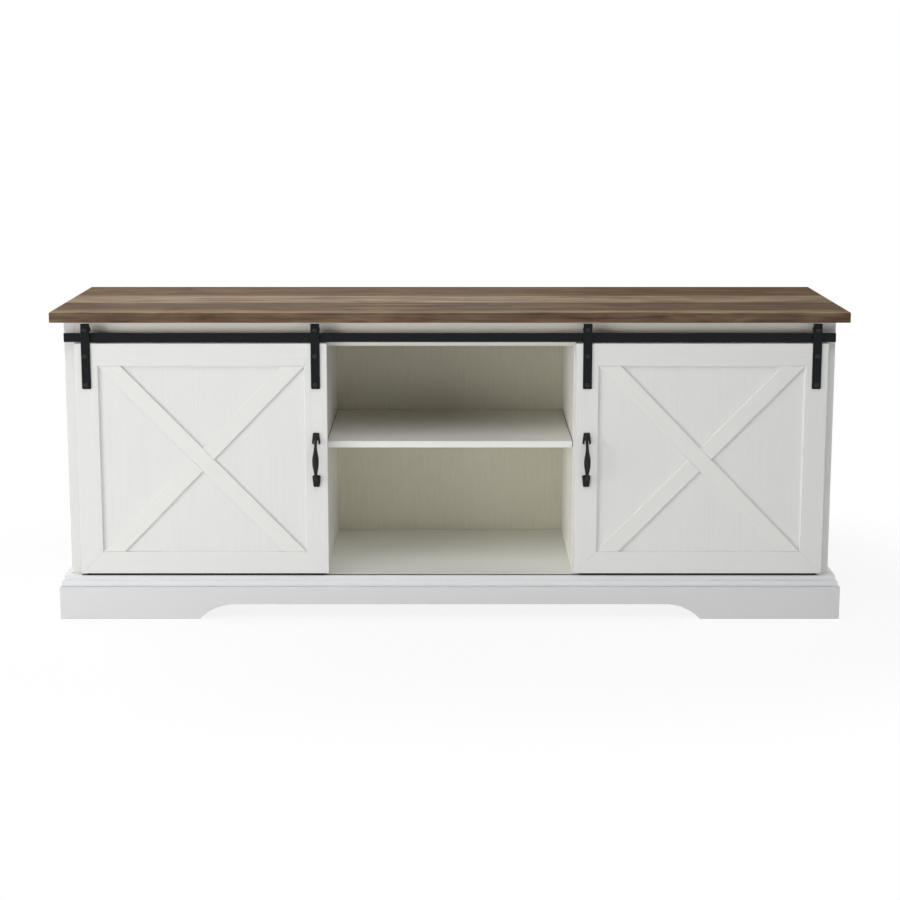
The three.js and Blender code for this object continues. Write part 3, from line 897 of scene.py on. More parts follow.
def subtract(piece: bpy.types.Object, tool: bpy.types.Object) -> None:
    """Cuts a tool's shape out of a piece and throws the tool away.

    Args:
        piece: The piece that is cut.
        tool: The piece that cuts.
    """
    cut = piece.modifiers.new("cut", "BOOLEAN")
    cut.operation = "DIFFERENCE"
    cut.solver = "EXACT"
    cut.object = tool
    apply_modifiers(piece)
    bpy.data.objects.remove(tool)


def weld(pieces: Sequence[bpy.types.Object]) -> bpy.types.Object:
    """Joins pieces into the first of them.

    Args:
        pieces: The pieces; the first keeps its name.

    Returns:
        The joined piece.
    """
    select_only(*pieces)
    bpy.ops.object.join()
    return pieces[0]


def copied(piece: bpy.types.Object, name: str, move: Vector) -> bpy.types.Object:
    """Copies a piece with a mesh of its own.

    Args:
        piece: The piece to copy.
        name: The copy's name.
        move: How far it moves.

    Returns:
        The copy, with its place in its mesh.
    """
    twin = piece.copy()
    twin.data = piece.data.copy()
    twin.name = name
    bpy.context.collection.objects.link(twin)
    twin.location = move
    settle(twin)
    return twin


def hand_over(piece: bpy.types.Object, body: str, node: str) -> None:
    """Puts a dressed piece on its body and hides the plain node it stands for.

    Args:
        piece: The finished piece.
        body: The body it moves with.
        node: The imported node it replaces.
    """
    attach(piece, body)
    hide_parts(node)
    LOG.info("%s: %d faces on %s", piece.name, len(piece.data.polygons), body)


def node_box(node: str) -> tuple[Vector, Vector, Vector]:
    """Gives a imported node's low corner, high corner and middle, in metres."""
    low, high = (Vector(corner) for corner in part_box(node))
    return low, high, (low + high) / 2


# ------------------------------------------------------------------ the room


@dataclass(frozen=True)
class Softbox:
    """One soft lamp: its place, its width and height in metres, and its watts."""

    name: str
    place: tuple[float, float, float]
    size: tuple[float, float]
    power: float

    def hang(self, aim: Vector) -> None:
        """Hangs the lamp and turns it.

        Args:
            aim: The point it lights.
        """
        bpy.ops.object.light_add(type="AREA", location=self.place)
        lamp = bpy.context.object
        lamp.name = self.name
        lamp.data.shape = "RECTANGLE"
        lamp.data.size, lamp.data.size_y = self.size
        lamp.data.energy = self.power
        lamp.rotation_euler = (aim - Vector(self.place)).to_track_quat("-Z", "Y").to_euler()


@dataclass
class Studio:
    """A pale floor, a white surround and soft lamps."""

    surround: float = 0.06
    floor_half: float = 12.0
    floor_drop: float = 0.0005
    fade_start: float = 1.0
    fade_end: float = 1.7
    fade_depth: float = 1.7
    floor_tone: str = "#f2f2f2"
    shadow: float = 0.16
    glow: float = 0.86
    aim: tuple[float, float, float] = (0.0, 0.0, 0.35)
    lamps: tuple[Softbox, ...] = (  # name, place, width and height, watts
        Softbox("key_softbox", (-4.2, -2.1, 0.8), (1.6, 1.2), 62),
        Softbox("left_softbox", (-3.2, -2.6, 0.7), (1.8, 1.2), 24),
        Softbox("rear_left_softbox", (-1.9, 0.9, 2.0), (1.6, 1.0), 22),
        Softbox("overhead_softbox", (-0.4, -0.4, 3.2), (3.0, 2.0), 6),
        Softbox("top_softbox", (-0.1, -1.2, 2.2), (2.6, 1.0), 19),
        Softbox("floor_softbox", (0.0, -1.9, 0.04), (3.0, 0.9), 6.5),
        Softbox("near_floor_softbox", (0.0, -1.0, 0.03), (2.6, 0.5), 2.3),
        Softbox("right_front_softbox", (3.2, -2.6, 0.7), (1.8, 1.2), 7),
        Softbox("right_softbox", (4.2, 0.9, 0.9), (1.6, 1.2), 55),
        Softbox("rear_softbox", (-0.6, 4.2, 0.7), (2.4, 1.0), 60),
    )

    def build(self) -> None:
        """Builds the surround, the floor and the lamps."""
        self.make_surround()
        self.make_floor()
        for lamp in self.lamps:
            lamp.hang(Vector(self.aim))

    def make_surround(self) -> None:
        """Lights from all round, and shows white where nothing stands."""
        world = bpy.data.worlds.new("studio_surround")
        bpy.context.scene.world = world
        tree = blank_tree(world)
        strength = add_node(
            tree, "ShaderNodeMix", {0: self.seen(tree), 2: self.surround, 3: 1.0},
            data_type="FLOAT",
        )
        background = add_node(
            tree, "ShaderNodeBackground", {"Color": WHITE, "Strength": strength}
        )
        add_node(tree, "ShaderNodeOutputWorld", {"Surface": background})

    @staticmethod
    def seen(tree: bpy.types.NodeTree) -> Node:
        """Says where a ray comes straight, or by gloss or glass, from the eye.

        Args:
            tree: The node tree to add to.

        Returns:
            1 for such a ray and 0 for others.
        """
        ray = add_node(tree, "ShaderNodeLightPath").outputs
        straight = add_node(
            tree, "ShaderNodeMath", {0: ray["Is Camera Ray"], 1: ray["Is Glossy Ray"]},
            operation="MAXIMUM",
        )
        return add_node(
            tree, "ShaderNodeMath", {0: straight, 1: ray["Is Transmission Ray"]},
            operation="MAXIMUM",
        )

    def make_floor(self) -> None:
        """Lays a matt floor that fades into the white surround and keeps the shadow."""
        bpy.ops.mesh.primitive_plane_add(
            size=2 * self.floor_half, location=(0, 0, -self.floor_drop)
        )
        floor = bpy.context.object
        floor.name = "studio_floor"
        material = bpy.data.materials.new("matt_studio_floor")
        tree = blank_tree(material)
        where = add_node(tree, "ShaderNodeTexCoord").outputs
        stretched = add_node(
            tree, "ShaderNodeMapping",
            {"Vector": where["Object"], "Scale": (1.0, self.fade_depth, 1.0)},
        )
        reach = add_node(
            tree, "ShaderNodeVectorMath", {0: stretched}, operation="LENGTH"
        ).outputs["Value"]
        fade = add_node(
            tree, "ShaderNodeMapRange",
            {"Value": reach, "From Min": self.fade_start, "From Max": self.fade_end,
             "To Min": 0.0, "To Max": 1.0},
            interpolation_type="SMOOTHSTEP",
        )
        grey = (self.shadow, self.shadow, self.shadow, 1.0)
        matt = add_node(tree, "ShaderNodeBsdfDiffuse", {"Color": grey})
        lit = add_node(tree, "ShaderNodeEmission", {"Color": WHITE, "Strength": self.glow})
        shadowed = add_node(tree, "ShaderNodeAddShader", {0: matt, 1: lit})
        white = add_node(tree, "ShaderNodeEmission", {"Strength": 1.0})
        faded = add_node(tree, "ShaderNodeMixShader", {0: fade, 1: shadowed, 2: white})
        bounce = add_node(tree, "ShaderNodeBsdfDiffuse", {"Color": linear(self.floor_tone)})
        shown = add_node(
            tree, "ShaderNodeMixShader", {0: self.seen(tree), 1: bounce, 2: faded}
        )
        add_node(tree, "ShaderNodeOutputMaterial", {"Surface": shown})
        dress(floor, material)


@dataclass
class ViewCamera:
    """The camera: a little above the stand, nearly level, framed with a small shift."""

    place: tuple[float, float, float] = (0.0004, -3.5, 1.2358)
    tilt: float = 0.1358
    lens_mm: float = 60.43
    sensor_mm: float = 36.0
    shift: float = -0.19

    def build(self) -> None:
        """Adds the camera and makes it the scene's."""
        bpy.ops.object.camera_add(
            location=self.place, rotation=(math.pi / 2 - self.tilt, 0, 0)
        )
        camera = bpy.context.object
        camera.name = "front_view"
        camera.data.lens = self.lens_mm
        camera.data.sensor_width = self.sensor_mm
        camera.data.shift_y = self.shift
        bpy.context.scene.camera = camera


# ------------------------------------------------------------------ the stand


class Slot(Enum):
    """Names of the record's material slots; no piece here takes its finish from them."""

    STEEL = "black steel"
    IRON = "cast iron"
    NYLON = "black nylon"
    WHITE = "white wash"


@dataclass
class ButtonBolt:
    """A button-head bolt with a hexagon socket, its head to the front. Sizes in mm."""

    head_radius: float = 5.5
    head_height: float = 3.0
    rim: float = 0.6
    socket_flats: float = 3.0
    socket_depth: float = 1.7
    crown_share: float = 0.75  # the flat round the socket, as a share of its flats
    shank_radius: float = 2.5
    point_ease: float = 0.4
    dome_steps: int = 9
    facets: int = 40

    def build(self, name: str, seat: Vector, length: float) -> bpy.types.Object:
        """Turns the bolt and cuts its socket.

        Args:
            name: The piece's name.
            seat: The middle of the face that the head sits on.
            length: How far the shank runs behind that face.

        Returns:
            The bolt.
        """
        crown = self.socket_flats * self.crown_share
        dome = arc(
            (crown, -self.rim),
            (self.head_radius - crown, self.head_height - self.rim), 0, -90, self.dome_steps,
        )
        shank = self.shank_radius
        profile = [
            (0.0, length), (shank - self.point_ease, length),
            (shank, length - self.point_ease), (shank, 0.0), (self.head_radius, 0.0),
            *dome, (0.0, -self.head_height),
        ]
        bolt = turned(name, seat, profile, self.facets)
        socket = hexagon(
            "socket_punch",
            seat - Vector((0, self.head_height * MM, 0)),
            self.socket_flats, 2 * self.socket_depth,
        )
        subtract(bolt, socket)
        settle(bolt)
        return bolt


@dataclass
class HangerStrap:
    """A flat steel strap with two bolts through the stile. Sizes in mm."""

    thickness: float = 3.0
    corner: float = 2.2
    edge: float = 0.9
    bolt_drops: tuple[float, float] = (73.6, 138.4)
    bolt_length: float = 11.0
    corner_steps: int = 6
    edge_steps: int = 4

    def build(
        self, name: str, node: str, face: float, palette: Palette
    ) -> bpy.types.Object:
        """Cuts the strap, rounds its corners and edges, and bolts it on.

        Args:
            name: The piece's name.
            node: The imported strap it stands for.
            face: Where the door's front face is, along Y.
            palette: The finishes.

        Returns:
            The strap with its bolts.
        """
        low, high, middle = node_box(node)
        thick = self.thickness * MM
        strap = solid_block(
            name, (middle.x, face - thick / 2, middle.z),
            (high.x - low.x, thick, high.z - low.z),
        )
        with open_piece(strap):
            pick(strap, Pick.EDGES, lambda at, run: abs(run.y) > SQUARE)
            bpy.ops.mesh.bevel(
                offset=self.corner * MM, segments=self.corner_steps, affect="EDGES"
            )
            pick(strap, Pick.FACES, lambda at, out: out.y < -SQUARE)
            bpy.ops.mesh.region_to_loop()
            bpy.ops.mesh.bevel(
                offset=self.edge * MM, segments=self.edge_steps, affect="EDGES"
            )
            tidy_shell()
        settle(strap)
        bolts = [
            ButtonBolt().build(
                f"{name}_bolt_{i}",
                Vector((middle.x, face - thick, high.z - drop * MM)), self.bolt_length,
            )
            for i, drop in enumerate(self.bolt_drops)
        ]
        dress(strap, palette.powder_coat)
        for bolt in bolts:
            dress(bolt, palette.bolt)
        return weld([strap, *bolts])


@dataclass
class AxleBolt:
    """The bolt that carries a wheel: head on the strap, hexagon nut behind. Sizes in mm."""

    strap: float = 3.0
    nut_flats: float = 8.6
    nut_ease: float = 0.5
    nut_thickness: float = 3.6
    thread: float = 1.0  # what shows of the bolt behind its nut

    def build(self, name: str, node: str, face: float) -> bpy.types.Object:
        """Turns the bolt and screws on its nut.

        Args:
            name: The piece's name.
            node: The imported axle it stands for.
            face: Where the door's front face is, along Y.

        Returns:
            The bolt with its nut.
        """
        _, high, middle = node_box(node)
        seat = Vector((middle.x, face - self.strap * MM, middle.z))
        bolt = ButtonBolt().build(name, seat, (high.y - seat.y) / MM)
        nut_back = high.y / MM - self.thread
        nut = nut_piece(
            f"{name}_nut",
            Vector((middle.x, (nut_back - self.nut_thickness / 2) * MM, middle.z)),
            self.nut_flats, self.nut_thickness, self.nut_ease,
        )
        return weld([bolt, nut])


def nut_piece(
    name: str, middle: Vector, flats_mm: float, thickness_mm: float, ease_mm: float
) -> bpy.types.Object:
    """Makes a hexagon nut with eased faces.

    Args:
        name: The piece's name.
        middle: Its middle.
        flats_mm: The size across its flats.
        thickness_mm: How thick it is.
        ease_mm: How far its edges are eased.

    Returns:
        The nut.
    """
    nut = hexagon(name, middle, flats_mm, thickness_mm)
    with open_piece(nut):
        bpy.ops.mesh.select_all(action="SELECT")
        bpy.ops.mesh.bevel(offset=ease_mm * MM, segments=2, affect="EDGES")
        tidy_shell()
    settle(nut)
    return nut


@dataclass
class FlangedWheel:
    """A nylon wheel whose groove runs on the track's edge. Sizes in mm."""

    bore: float = 2.8
    hub: float = 5.2
    recess: float = 0.9
    tread: float = 7.5
    groove_half: float = 2.8
    groove_flare: float = 0.5
    rim_round: float = 0.9
    rim_flatness: float = 0.8  # how far the rim's round reaches along, as a share of its height
    rim_steps: int = 4
    rim_band: float = 2.2
    slope: float = 0.4
    facets: int = 48

    def build(self, name: str, node: str) -> bpy.types.Object:
        """Turns the wheel with its groove, hub and recessed sides.

        Args:
            name: The piece's name.
            node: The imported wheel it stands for.

        Returns:
            The wheel.
        """
        low, high, middle = node_box(node)
        half = (high.y - low.y) / 2 / MM
        rim = (high.z - low.z) / 2 / MM
        back = self.side(half, rim)
        front = [(radius, -along) for radius, along in reversed(back)]
        return turned(name, middle, [*front, *back, front[0]], self.facets)

    def side(self, half: float, rim: float) -> list[tuple[float, float]]:
        """Gives the profile of the back half, from the groove to the bore.

        Args:
            half: Half the wheel's width.
            rim: The radius of its flanges.

        Returns:
            Radius and length points in millimetres.
        """
        ease, slope, floor = self.rim_round, self.slope, half - self.recess
        flare = self.groove_half + self.groove_flare
        web, along = rim - self.rim_band, ease * self.rim_flatness
        return [
            (self.tread, self.groove_half), (rim - slope, flare), (rim, flare + slope),
            *arc((rim - ease, half - along), (ease, along), 0, 90, self.rim_steps),
            (web, half), (web - slope, floor), (self.hub + slope, floor),
            (self.hub, half), (self.bore, half),
        ]


@dataclass
class Standoff:
    """A sleeve that holds the track off the cabinet, with its stud and nut. Sizes in mm."""

    sleeve_radius: float = 6.0
    ease: float = 0.7
    ease_steps: int = 3
    washer_radius: float = 7.4
    washer_thickness: float = 1.2
    washer_ease: float = 0.3
    stud_radius: float = 3.0
    board: float = 15.0
    nut_flats: float = 10.3
    nut_thickness: float = 5.0
    nut_ease: float = 0.6
    facets: int = 40

    def build(self, name: str, node: str, board_face: float) -> bpy.types.Object:
        """Turns the sleeve and the stud and screws on the nut.

        Args:
            name: The piece's name.
            node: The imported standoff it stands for.
            board_face: Where the fascia's front face is, along Y.

        Returns:
            The standoff.
        """
        low, high, middle = node_box(node)
        start = Vector((middle.x, low.y, middle.z))
        sleeve = (board_face - low.y) / MM
        end = (high.y - low.y) / MM
        radius, ease, stud = self.sleeve_radius, self.ease, self.stud_radius
        washer, seat = self.washer_radius, sleeve - self.washer_thickness
        profile = [
            (0.0, 0.0), (radius - ease, 0.0),
            *arc((radius - ease, ease), (ease, ease), -90, 0, self.ease_steps),
            (radius, seat), (washer - self.washer_ease, seat),
            (washer, seat + self.washer_ease), (washer, sleeve),
            (stud, sleeve), (stud, end - ease), (stud - ease, end), (0.0, end),
        ]
        post = turned(name, start, profile, self.facets)
        nut_middle = sleeve + self.board + self.nut_thickness / 2
        nut = nut_piece(
            f"{name}_nut", start + Vector((0, nut_middle * MM, 0)),
            self.nut_flats, self.nut_thickness, self.nut_ease,
        )
        return weld([post, nut])


@dataclass(frozen=True)
class GripRing:
    """One ring of the grip: height and reach of its middle, its size and its turn."""

    up: float
    reach: float
    width: float
    depth: float
    turn: float


@dataclass
class CastHandle:
    """A cast pull: two split feet and an arched, twisted leaf grip. Sizes in mm."""

    half_height: float = 62.2
    foot_thickness: float = 3.4
    upper_foot: tuple[tuple[float, float], ...] = (
        (5.4, 62.2), (6.7, 61.5), (7.2, 60.2), (9.4, 40.6), (9.5, 39.2), (8.8, 37.6),
        (6.9, 35.9), (5.4, 35.4), (5.3, 38.0), (5.0, 42.5), (3.6, 45.5),
    )
    lower_foot: tuple[tuple[float, float], ...] = (
        (5.2, 62.2), (6.6, 61.5), (7.3, 60.0), (9.2, 39.6), (9.2, 37.6), (8.0, 36.3),
        (4.6, 35.4), (2.4, 35.0),
    )
    rings: tuple[GripRing, ...] = (
        GripRing(57.0, 1.8, 6.6, 5.0, 0), GripRing(51.5, 3.8, 7.0, 7.0, 0),
        GripRing(46.5, 7.6, 7.0, 8.4, 0), GripRing(41.8, 12.6, 6.9, 8.6, 0),
        GripRing(37.2, 17.2, 6.9, 8.0, 4), GripRing(32.6, 20.6, 7.4, 7.0, 12),
        GripRing(27.0, 22.8, 9.0, 6.6, 22), GripRing(21.0, 23.8, 11.4, 6.8, 27),
        GripRing(14.5, 24.3, 14.0, 7.3, 24), GripRing(7.5, 24.5, 15.2, 7.8, 14),
        GripRing(0.0, 24.5, 15.4, 8.2, 0),
    )
    lens: float = 0.78
    sink: float = 0.4
    edge_inset: float = 0.9
    edge_drop: float = 0.5
    first_radius: float = 0.5
    ring_points: int = 8
    voxel: float = 0.5
    smoothing: float = 0.5
    smoothing_rounds: int = 3
    smooth_below: float = 60.0

    def build(self, name: str, node: str, face: float) -> bpy.types.Object:
        """Models the feet and the grip and melts them into one casting.

        Args:
            name: The piece's name.
            node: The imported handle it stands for.
            face: Where the door's front face is, along Y.

        Returns:
            The handle.
        """
        middle = node_box(node)[2]
        centre = Vector((middle.x, face, middle.z))
        feet = [
            self.foot(f"{name}_foot_{way}", centre, [
                *((x, z * way) for x, z in half), *((-x, z * way) for x, z in reversed(half))
            ])
            for way, half in ((1, self.upper_foot), (-1, self.lower_foot))
        ]
        casting = weld([self.grip(name, centre), *feet])
        remesh = casting.modifiers.new("melt", "REMESH")
        remesh.mode = "VOXEL"
        remesh.voxel_size = self.voxel * MM
        soften = casting.modifiers.new("soften", "SMOOTH")
        soften.factor = self.smoothing
        soften.iterations = self.smoothing_rounds
        apply_modifiers(casting)
        self.drop_pockets(casting)
        settle(casting, self.smooth_below)
        return casting

    @staticmethod
    def drop_pockets(casting: bpy.types.Object) -> None:
        """Deletes the closed pockets that the melt leaves inside the casting.

        Args:
            casting: The melted casting.
        """
        highest = max(point.co.z for point in casting.data.vertices)
        with open_piece(casting):
            pick(casting, Pick.POINTS, lambda at, out: at.z > highest - TOUCH)
            bpy.ops.mesh.select_linked()
            bpy.ops.mesh.select_all(action="INVERT")
            bpy.ops.mesh.delete(type="VERT")

    def foot(
        self, name: str, centre: Vector, outline: Sequence[tuple[float, float]]
    ) -> bpy.types.Object:
        """Cuts one foot, with its front edge bevelled.

        Args:
            name: The piece's name.
            centre: The handle's middle on the door's face.
            outline: The foot's outline from that middle.

        Returns:
            The foot.
        """
        back = centre + Vector((0, self.sink * MM, 0))
        foot = cut_plate(name, back, outline, self.foot_thickness + self.sink)
        with open_piece(foot):
            pick(foot, Pick.FACES, lambda at, out: out.y < -SQUARE)
            bpy.ops.mesh.inset(thickness=self.edge_inset * MM, depth=self.edge_drop * MM)
            tidy_shell()
        return foot

    def grip(self, name: str, centre: Vector) -> bpy.types.Object:
        """Extrudes the grip ring by ring, from the upper foot to the lower one.

        Args:
            name: The piece's name.
            centre: The handle's middle on the door's face.

        Returns:
            The grip.
        """
        lower = [
            GripRing(-r.up, r.reach, r.width, r.depth, -r.turn) for r in self.rings[-2::-1]
        ]
        rings = [*self.rings, *lower]
        first = rings[0]
        at = centre + Vector((0, -first.reach, first.up)) * MM
        bpy.ops.mesh.primitive_circle_add(
            vertices=self.ring_points, radius=self.first_radius * MM, location=tuple(at),
            fill_type="NGON",
        )
        grip = bpy.context.object
        grip.name = name
        settle(grip)
        with open_piece(grip):
            pick(grip, Pick.POINTS, lambda p, out: min(abs(p.x - at.x), abs(p.y - at.y)) > TOUCH)
            self.resize(self.lens, self.lens, at)
            bpy.ops.mesh.select_mode(type="FACE")
            bpy.ops.mesh.select_all(action="SELECT")
            self.resize(first.width, first.depth, at)
            for last, ring in zip(rings, rings[1:]):
                step = Vector((0, last.reach - ring.reach, ring.up - last.up)) * MM
                push(step)
                at = at + step
                self.twist(-last.turn, at)
                self.resize(ring.width / last.width, ring.depth / last.depth, at)
                self.twist(ring.turn, at)
            tidy_shell()
        return grip

    @staticmethod
    def resize(across: float, deep: float, at: Vector) -> None:
        """Scales the selected ring across and front to back, about its middle."""
        bpy.ops.transform.resize(value=(across, deep, 1.0), center_override=tuple(at))

    @staticmethod
    def twist(degrees: float, at: Vector) -> None:
        """Turns the selected ring about its upright axis.

        Args:
            degrees: How far it turns.
            at: The ring's middle.
        """
        if degrees:
            bpy.ops.transform.rotate(
                value=-math.radians(degrees), orient_axis="Z", center_override=tuple(at)
            )


@dataclass
class TopBoard:
    """The plank-printed top."""

    def build(self, nodes: dict[str, bpy.types.Object], palette: Palette) -> None:
        """Dresses the top board."""
        dress(nodes["top_board"], palette.planks)


@dataclass
class Carcass:
    """The white boards, shelves and back of the cabinet."""

    def build(self, nodes: dict[str, bpy.types.Object], palette: Palette) -> None:
        """Dresses each board along its own grain.

        Args:
            nodes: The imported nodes, by name.
            palette: The finishes.
        """
        # Dividers, shelves and the rear top rail take the lining, which is painted light and a
        # painted warm shade tint.
        for side in ("left", "right"):
            dress(nodes[f"side_panel_{side}"], palette.white[Grain.UPRIGHT])
            dress(nodes[f"divider_{side}"], palette.inner[Grain.UPRIGHT])
        # the fascia's lighter, warmer finish is painted light
        dress(nodes["fascia_board"], palette.fascia)
        dress(nodes["rear_top_rail"], palette.inner[Grain.ALONG_LENGTH])
        for bay in ("left", "centre", "right"):
            # the back board's warm face is partly a painted tint of the bays' shade
            dress(nodes[f"back_panel_{bay}"], palette.back_board)
            dress(nodes[f"shelf_{bay}"], palette.inner[Grain.ALONG_LENGTH])


@dataclass
class MouldedSlab:
    """The base slab: a square lip over an ovolo, and a groove for the guides. Sizes in mm."""

    lip_inset: float = 5.5
    lip_height: float = 9.0
    fillet: float = 0.8
    ovolo_height: float = 9.0
    under_round: float = 4.0
    ease: float = 0.8
    steps: int = 9
    ease_steps: int = 3
    level_within: float = 0.5  # faces that differ by fewer degrees are one
    smooth_below: float = 40.0
    groove_width: float = 6.0
    groove_depth: float = 8.0
    groove_margin: float = 27.0  # from the cabinet's side to the groove's end
    overhang: float = 18.0  # of the slab past the cabinet's side

    def profile(self, thickness: float) -> list[tuple[float, float]]:
        """Gives the edge moulding from the underside up.

        Args:
            thickness: The slab's thickness.

        Returns:
            Inset from the nose and height above the underside, in millimetres.
        """
        ovolo_top = thickness - self.lip_height - self.fillet
        ovolo_in = self.lip_inset - self.fillet
        under = self.under_round
        return [
            *arc((under / 2, under), (under / 2, under), -90, -180, self.steps),
            *arc(
                (ovolo_in, ovolo_top - self.ovolo_height), (ovolo_in, self.ovolo_height),
                180, 90, self.steps,
            ),
            (self.lip_inset, ovolo_top), (self.lip_inset, thickness - self.ease),
            *arc(
                (self.lip_inset + self.ease, thickness - self.ease), (self.ease, self.ease),
                180, 90, self.ease_steps,
            )[1:],
        ]

    def build(self, name: str, node: str, groove_middle: float) -> bpy.types.Object:
        """Draws the moulding up from the underside and sinks the groove.

        Args:
            name: The piece's name.
            node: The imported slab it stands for.
            groove_middle: Where the groove runs, along Y.

        Returns:
            The slab.
        """
        low, high, middle = node_box(node)
        width, deep = (high.x - low.x) / MM, (high.y - low.y) / MM
        rings = self.profile((high.z - low.z) / MM)
        bpy.ops.mesh.primitive_plane_add(size=1.0, location=(middle.x, middle.y, low.z))
        slab = bpy.context.object
        slab.name = name
        slab.scale = (width * MM, deep * MM, 1.0)
        settle(slab)
        inset, height = 0.0, 0.0
        with open_piece(slab):
            bpy.ops.mesh.select_mode(type="FACE")
            bpy.ops.mesh.select_all(action="SELECT")
            for number, (next_inset, next_height) in enumerate(rings):
                if number:
                    push((0.0, 0.0, (next_height - height) * MM))
                bpy.ops.transform.resize(
                    value=(
                        (width - 2 * next_inset) / (width - 2 * inset),
                        (deep - next_inset) / (deep - inset), 1.0,
                    ),
                    center_override=(middle.x, high.y, low.z),
                )
                inset, height = next_inset, next_height
            self.sink_groove(slab, high.z, width / 2 * MM, groove_middle)
            tidy_shell()
        settle(slab, self.smooth_below)
        return slab

    def sink_groove(
        self, slab: bpy.types.Object, top: float, half: float, groove_middle: float
    ) -> None:
        """Marks the groove on the slab's top with four cuts and pushes it down.

        Args:
            slab: The open slab.
            top: The height of its top.
            half: Half its length.
            groove_middle: Where the groove runs, along Y.
        """
        reach = half - (self.groove_margin + self.overhang) * MM
        near = groove_middle - self.groove_width / 2 * MM
        far = groove_middle + self.groove_width / 2 * MM
        for place, way in (
            ((0, near, top), (0, 1, 0)), ((0, far, top), (0, 1, 0)),
            ((-reach, 0, top), (1, 0, 0)), ((reach, 0, top), (1, 0, 0)),
        ):
            pick_level(slab, top)
            bpy.ops.mesh.bisect(plane_co=place, plane_no=way)
        pick(
            slab, Pick.FACES,
            lambda at, out: out.z > SQUARE and abs(at.x) < reach and near < at.y < far,
        )
        push((0.0, 0.0, -self.groove_depth * MM))
        bpy.ops.mesh.select_all(action="SELECT")
        bpy.ops.mesh.dissolve_limited(angle_limit=math.radians(self.level_within))
        bpy.ops.mesh.dissolve_degenerate(threshold=TOUCH)


@dataclass
class Base:
    """The moulded slab, the plinth and the middle foot."""

    slab: MouldedSlab = field(default_factory=MouldedSlab)

    def build(self, nodes: dict[str, bpy.types.Object], palette: Palette) -> None:
        """Models the slab and dresses the base.

        Args:
            nodes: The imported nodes, by name.
            palette: The finishes.
        """
        groove_middle = node_box("door_left_guide")[2].y
        slab = self.slab.build("moulded_base_slab", "base_slab", groove_middle)
        dress(slab, palette.slab_edge)
        slab.data.materials.append(palette.painted_light_floor)
        # The third finish, black nylon, is painted shade: it darkens the groove's walls and floor.
        slab.data.materials.append(palette.nylon)
        self.paint_floor_light_and_groove_shade(slab, node_box("base_slab")[1].z, groove_middle)
        hand_over(slab, "cabinet", "base_slab")
        for name in ("plinth_front", "plinth_back"):
            dress(nodes[name], palette.moulding[Grain.ALONG_LENGTH])
        for name in ("plinth_left", "plinth_right"):
            dress(nodes[name], palette.moulding[Grain.ALONG_DEPTH])
        dress(nodes["centre_foot"], palette.nylon)

    def paint_floor_light_and_groove_shade(self, slab: bpy.types.Object, top: float, groove_middle: float) -> None:
        """Gives the slab's level top the lighter, warmer finish, which is painted light, and paints
        its groove black nylon as painted shade.

        Args:
            slab: The slab, with its three finishes.
            top: The height of its top.
            groove_middle: Where the groove runs, along Y.
        """
        half = self.slab.groove_width / 2 * MM + TOUCH
        floor = top - self.slab.groove_depth * MM - TOUCH
        # The level top takes the lighter, warmer floor finish: painted light.
        with open_piece(slab):
            pick_level(slab, top)
            slab.active_material_index = 1
            # The groove's walls and floor take black nylon: painted shade that darkens the groove.
            bpy.ops.object.material_slot_assign()
            pick(
                slab, Pick.FACES,
                lambda at, out: abs(at.y - groove_middle) < half and floor < at.z < top - TOUCH,
            )
            slab.active_material_index = 2
            bpy.ops.object.material_slot_assign()


@dataclass
class Track:
    """The flat steel track on its standoffs."""

    standoffs: int = 4
    standoff: Standoff = field(default_factory=Standoff)

    def build(self, nodes: dict[str, bpy.types.Object], palette: Palette) -> None:
        """Dresses the track and models its standoffs.

        Args:
            nodes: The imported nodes, by name.
            palette: The finishes.
        """
        dress(nodes["door_track"], palette.powder_coat)
        board_face = node_box("fascia_board")[0].y
        first = self.standoff.build("standoff_1", "track_standoff_1", board_face)
        start = node_box("track_standoff_1")[2]
        posts = [first]
        for number in range(2, self.standoffs + 1):
            node = f"track_standoff_{number}"
            posts.append(copied(first, f"standoff_{number}", node_box(node)[2] - start))
        for number, post in enumerate(posts, 1):
            dress(post, palette.powder_coat)
            hand_over(post, "cabinet", f"track_standoff_{number}")


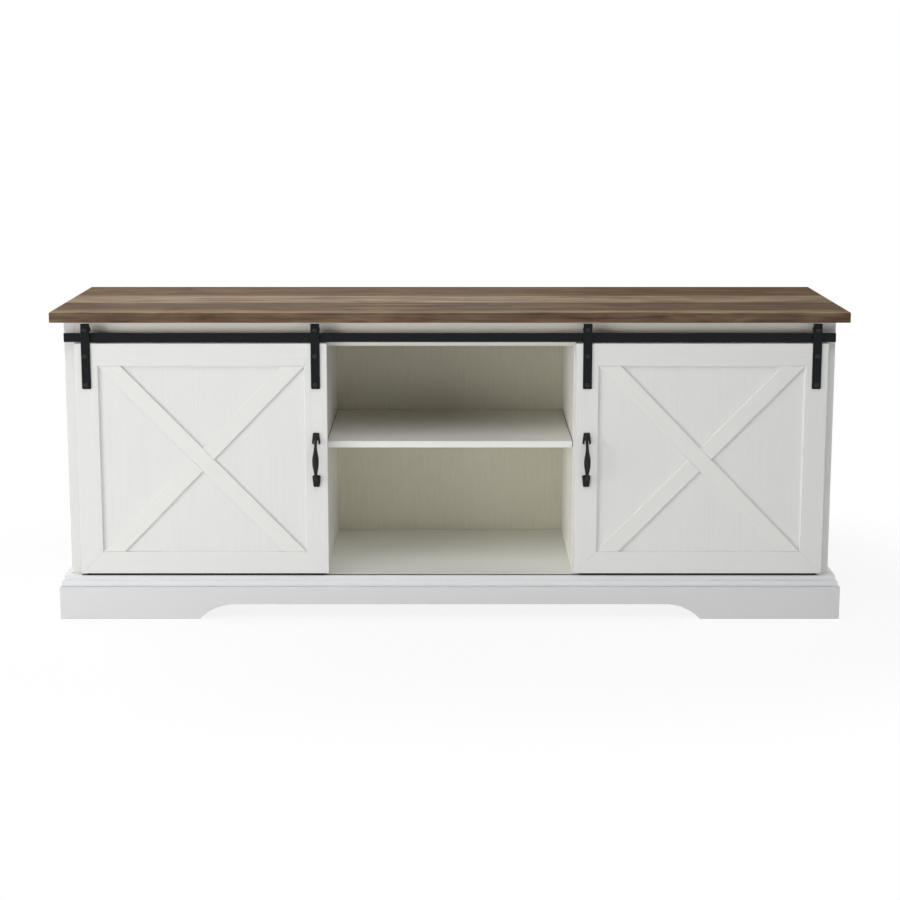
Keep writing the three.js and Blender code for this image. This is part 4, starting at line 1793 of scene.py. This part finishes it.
@dataclass
class Door:
    """One barn door with its hangers, wheels, guide and handle."""

    side: str

    def build(self, nodes: dict[str, bpy.types.Object], palette: Palette) -> None:
        """Dresses the door's boards and models its hardware.

        Args:
            nodes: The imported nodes, by name.
            palette: The finishes.
        """
        door = f"door_{self.side}"
        for finish, parts in (
            (palette.white[Grain.UPRIGHT], ("panel", "outer_stile", "inner_stile")),
            (palette.white[Grain.ALONG_LENGTH], ("top_rail", "bottom_rail")),
            (palette.brace[Grain.FALLING], ("brace_long",)),
            (palette.brace[Grain.RISING], ("brace_upper", "brace_lower")),
        ):
            for part in parts:
                dress(nodes[f"{door}_{part}"], finish)
        dress(nodes[f"{door}_guide"], palette.nylon)
        face = node_box(f"{door}_inner_stile")[0].y
        body = f"{self.side}_door"
        handle = CastHandle().build(f"{self.side}_handle", f"{door}_handle", face)
        dress(handle, palette.casting)
        hand_over(handle, body, f"{door}_handle")
        for spot in ("outer", "inner"):
            self.hang(f"{self.side}_{spot}", f"{door}_{spot}", face, palette)

    def hang(self, name: str, node: str, face: float, palette: Palette) -> None:
        """Models one hanger: its strap, its axle bolt and its wheel.

        Args:
            name: What the hanger's pieces and wheel body are called.
            node: What the hanger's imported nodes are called.
            face: Where the door's front face is, along Y.
            palette: The finishes.
        """
        body = f"{self.side}_door"
        strap = HangerStrap().build(f"{name}_hanger_strap", f"{node}_strap", face, palette)
        hand_over(strap, body, f"{node}_strap")
        axle = AxleBolt().build(f"{name}_axle_bolt", f"{node}_axle", face)
        dress(axle, palette.bolt)
        hand_over(axle, body, f"{node}_axle")
        wheel = FlangedWheel().build(f"{name}_roller", f"{node}_wheel")
        dress(wheel, palette.nylon)
        hand_over(wheel, f"{name}_wheel", f"{node}_wheel")


def main() -> None:
    """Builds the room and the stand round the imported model."""
    logging.basicConfig(level=logging.INFO, format="%(name)s: %(message)s")
    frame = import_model()
    bpy.ops.object.select_all(action="DESELECT")
    bpy.context.scene.view_settings.view_transform = "Standard"
    ViewCamera().build()
    Studio().build()
    palette = Palette()
    for part in (TopBoard(), Carcass(), Base(), Track(), Door("left"), Door("right")):
        part.build(frame["nodes"], palette)
        LOG.info("built %s", part)


if __name__ == "__main__":
    main()
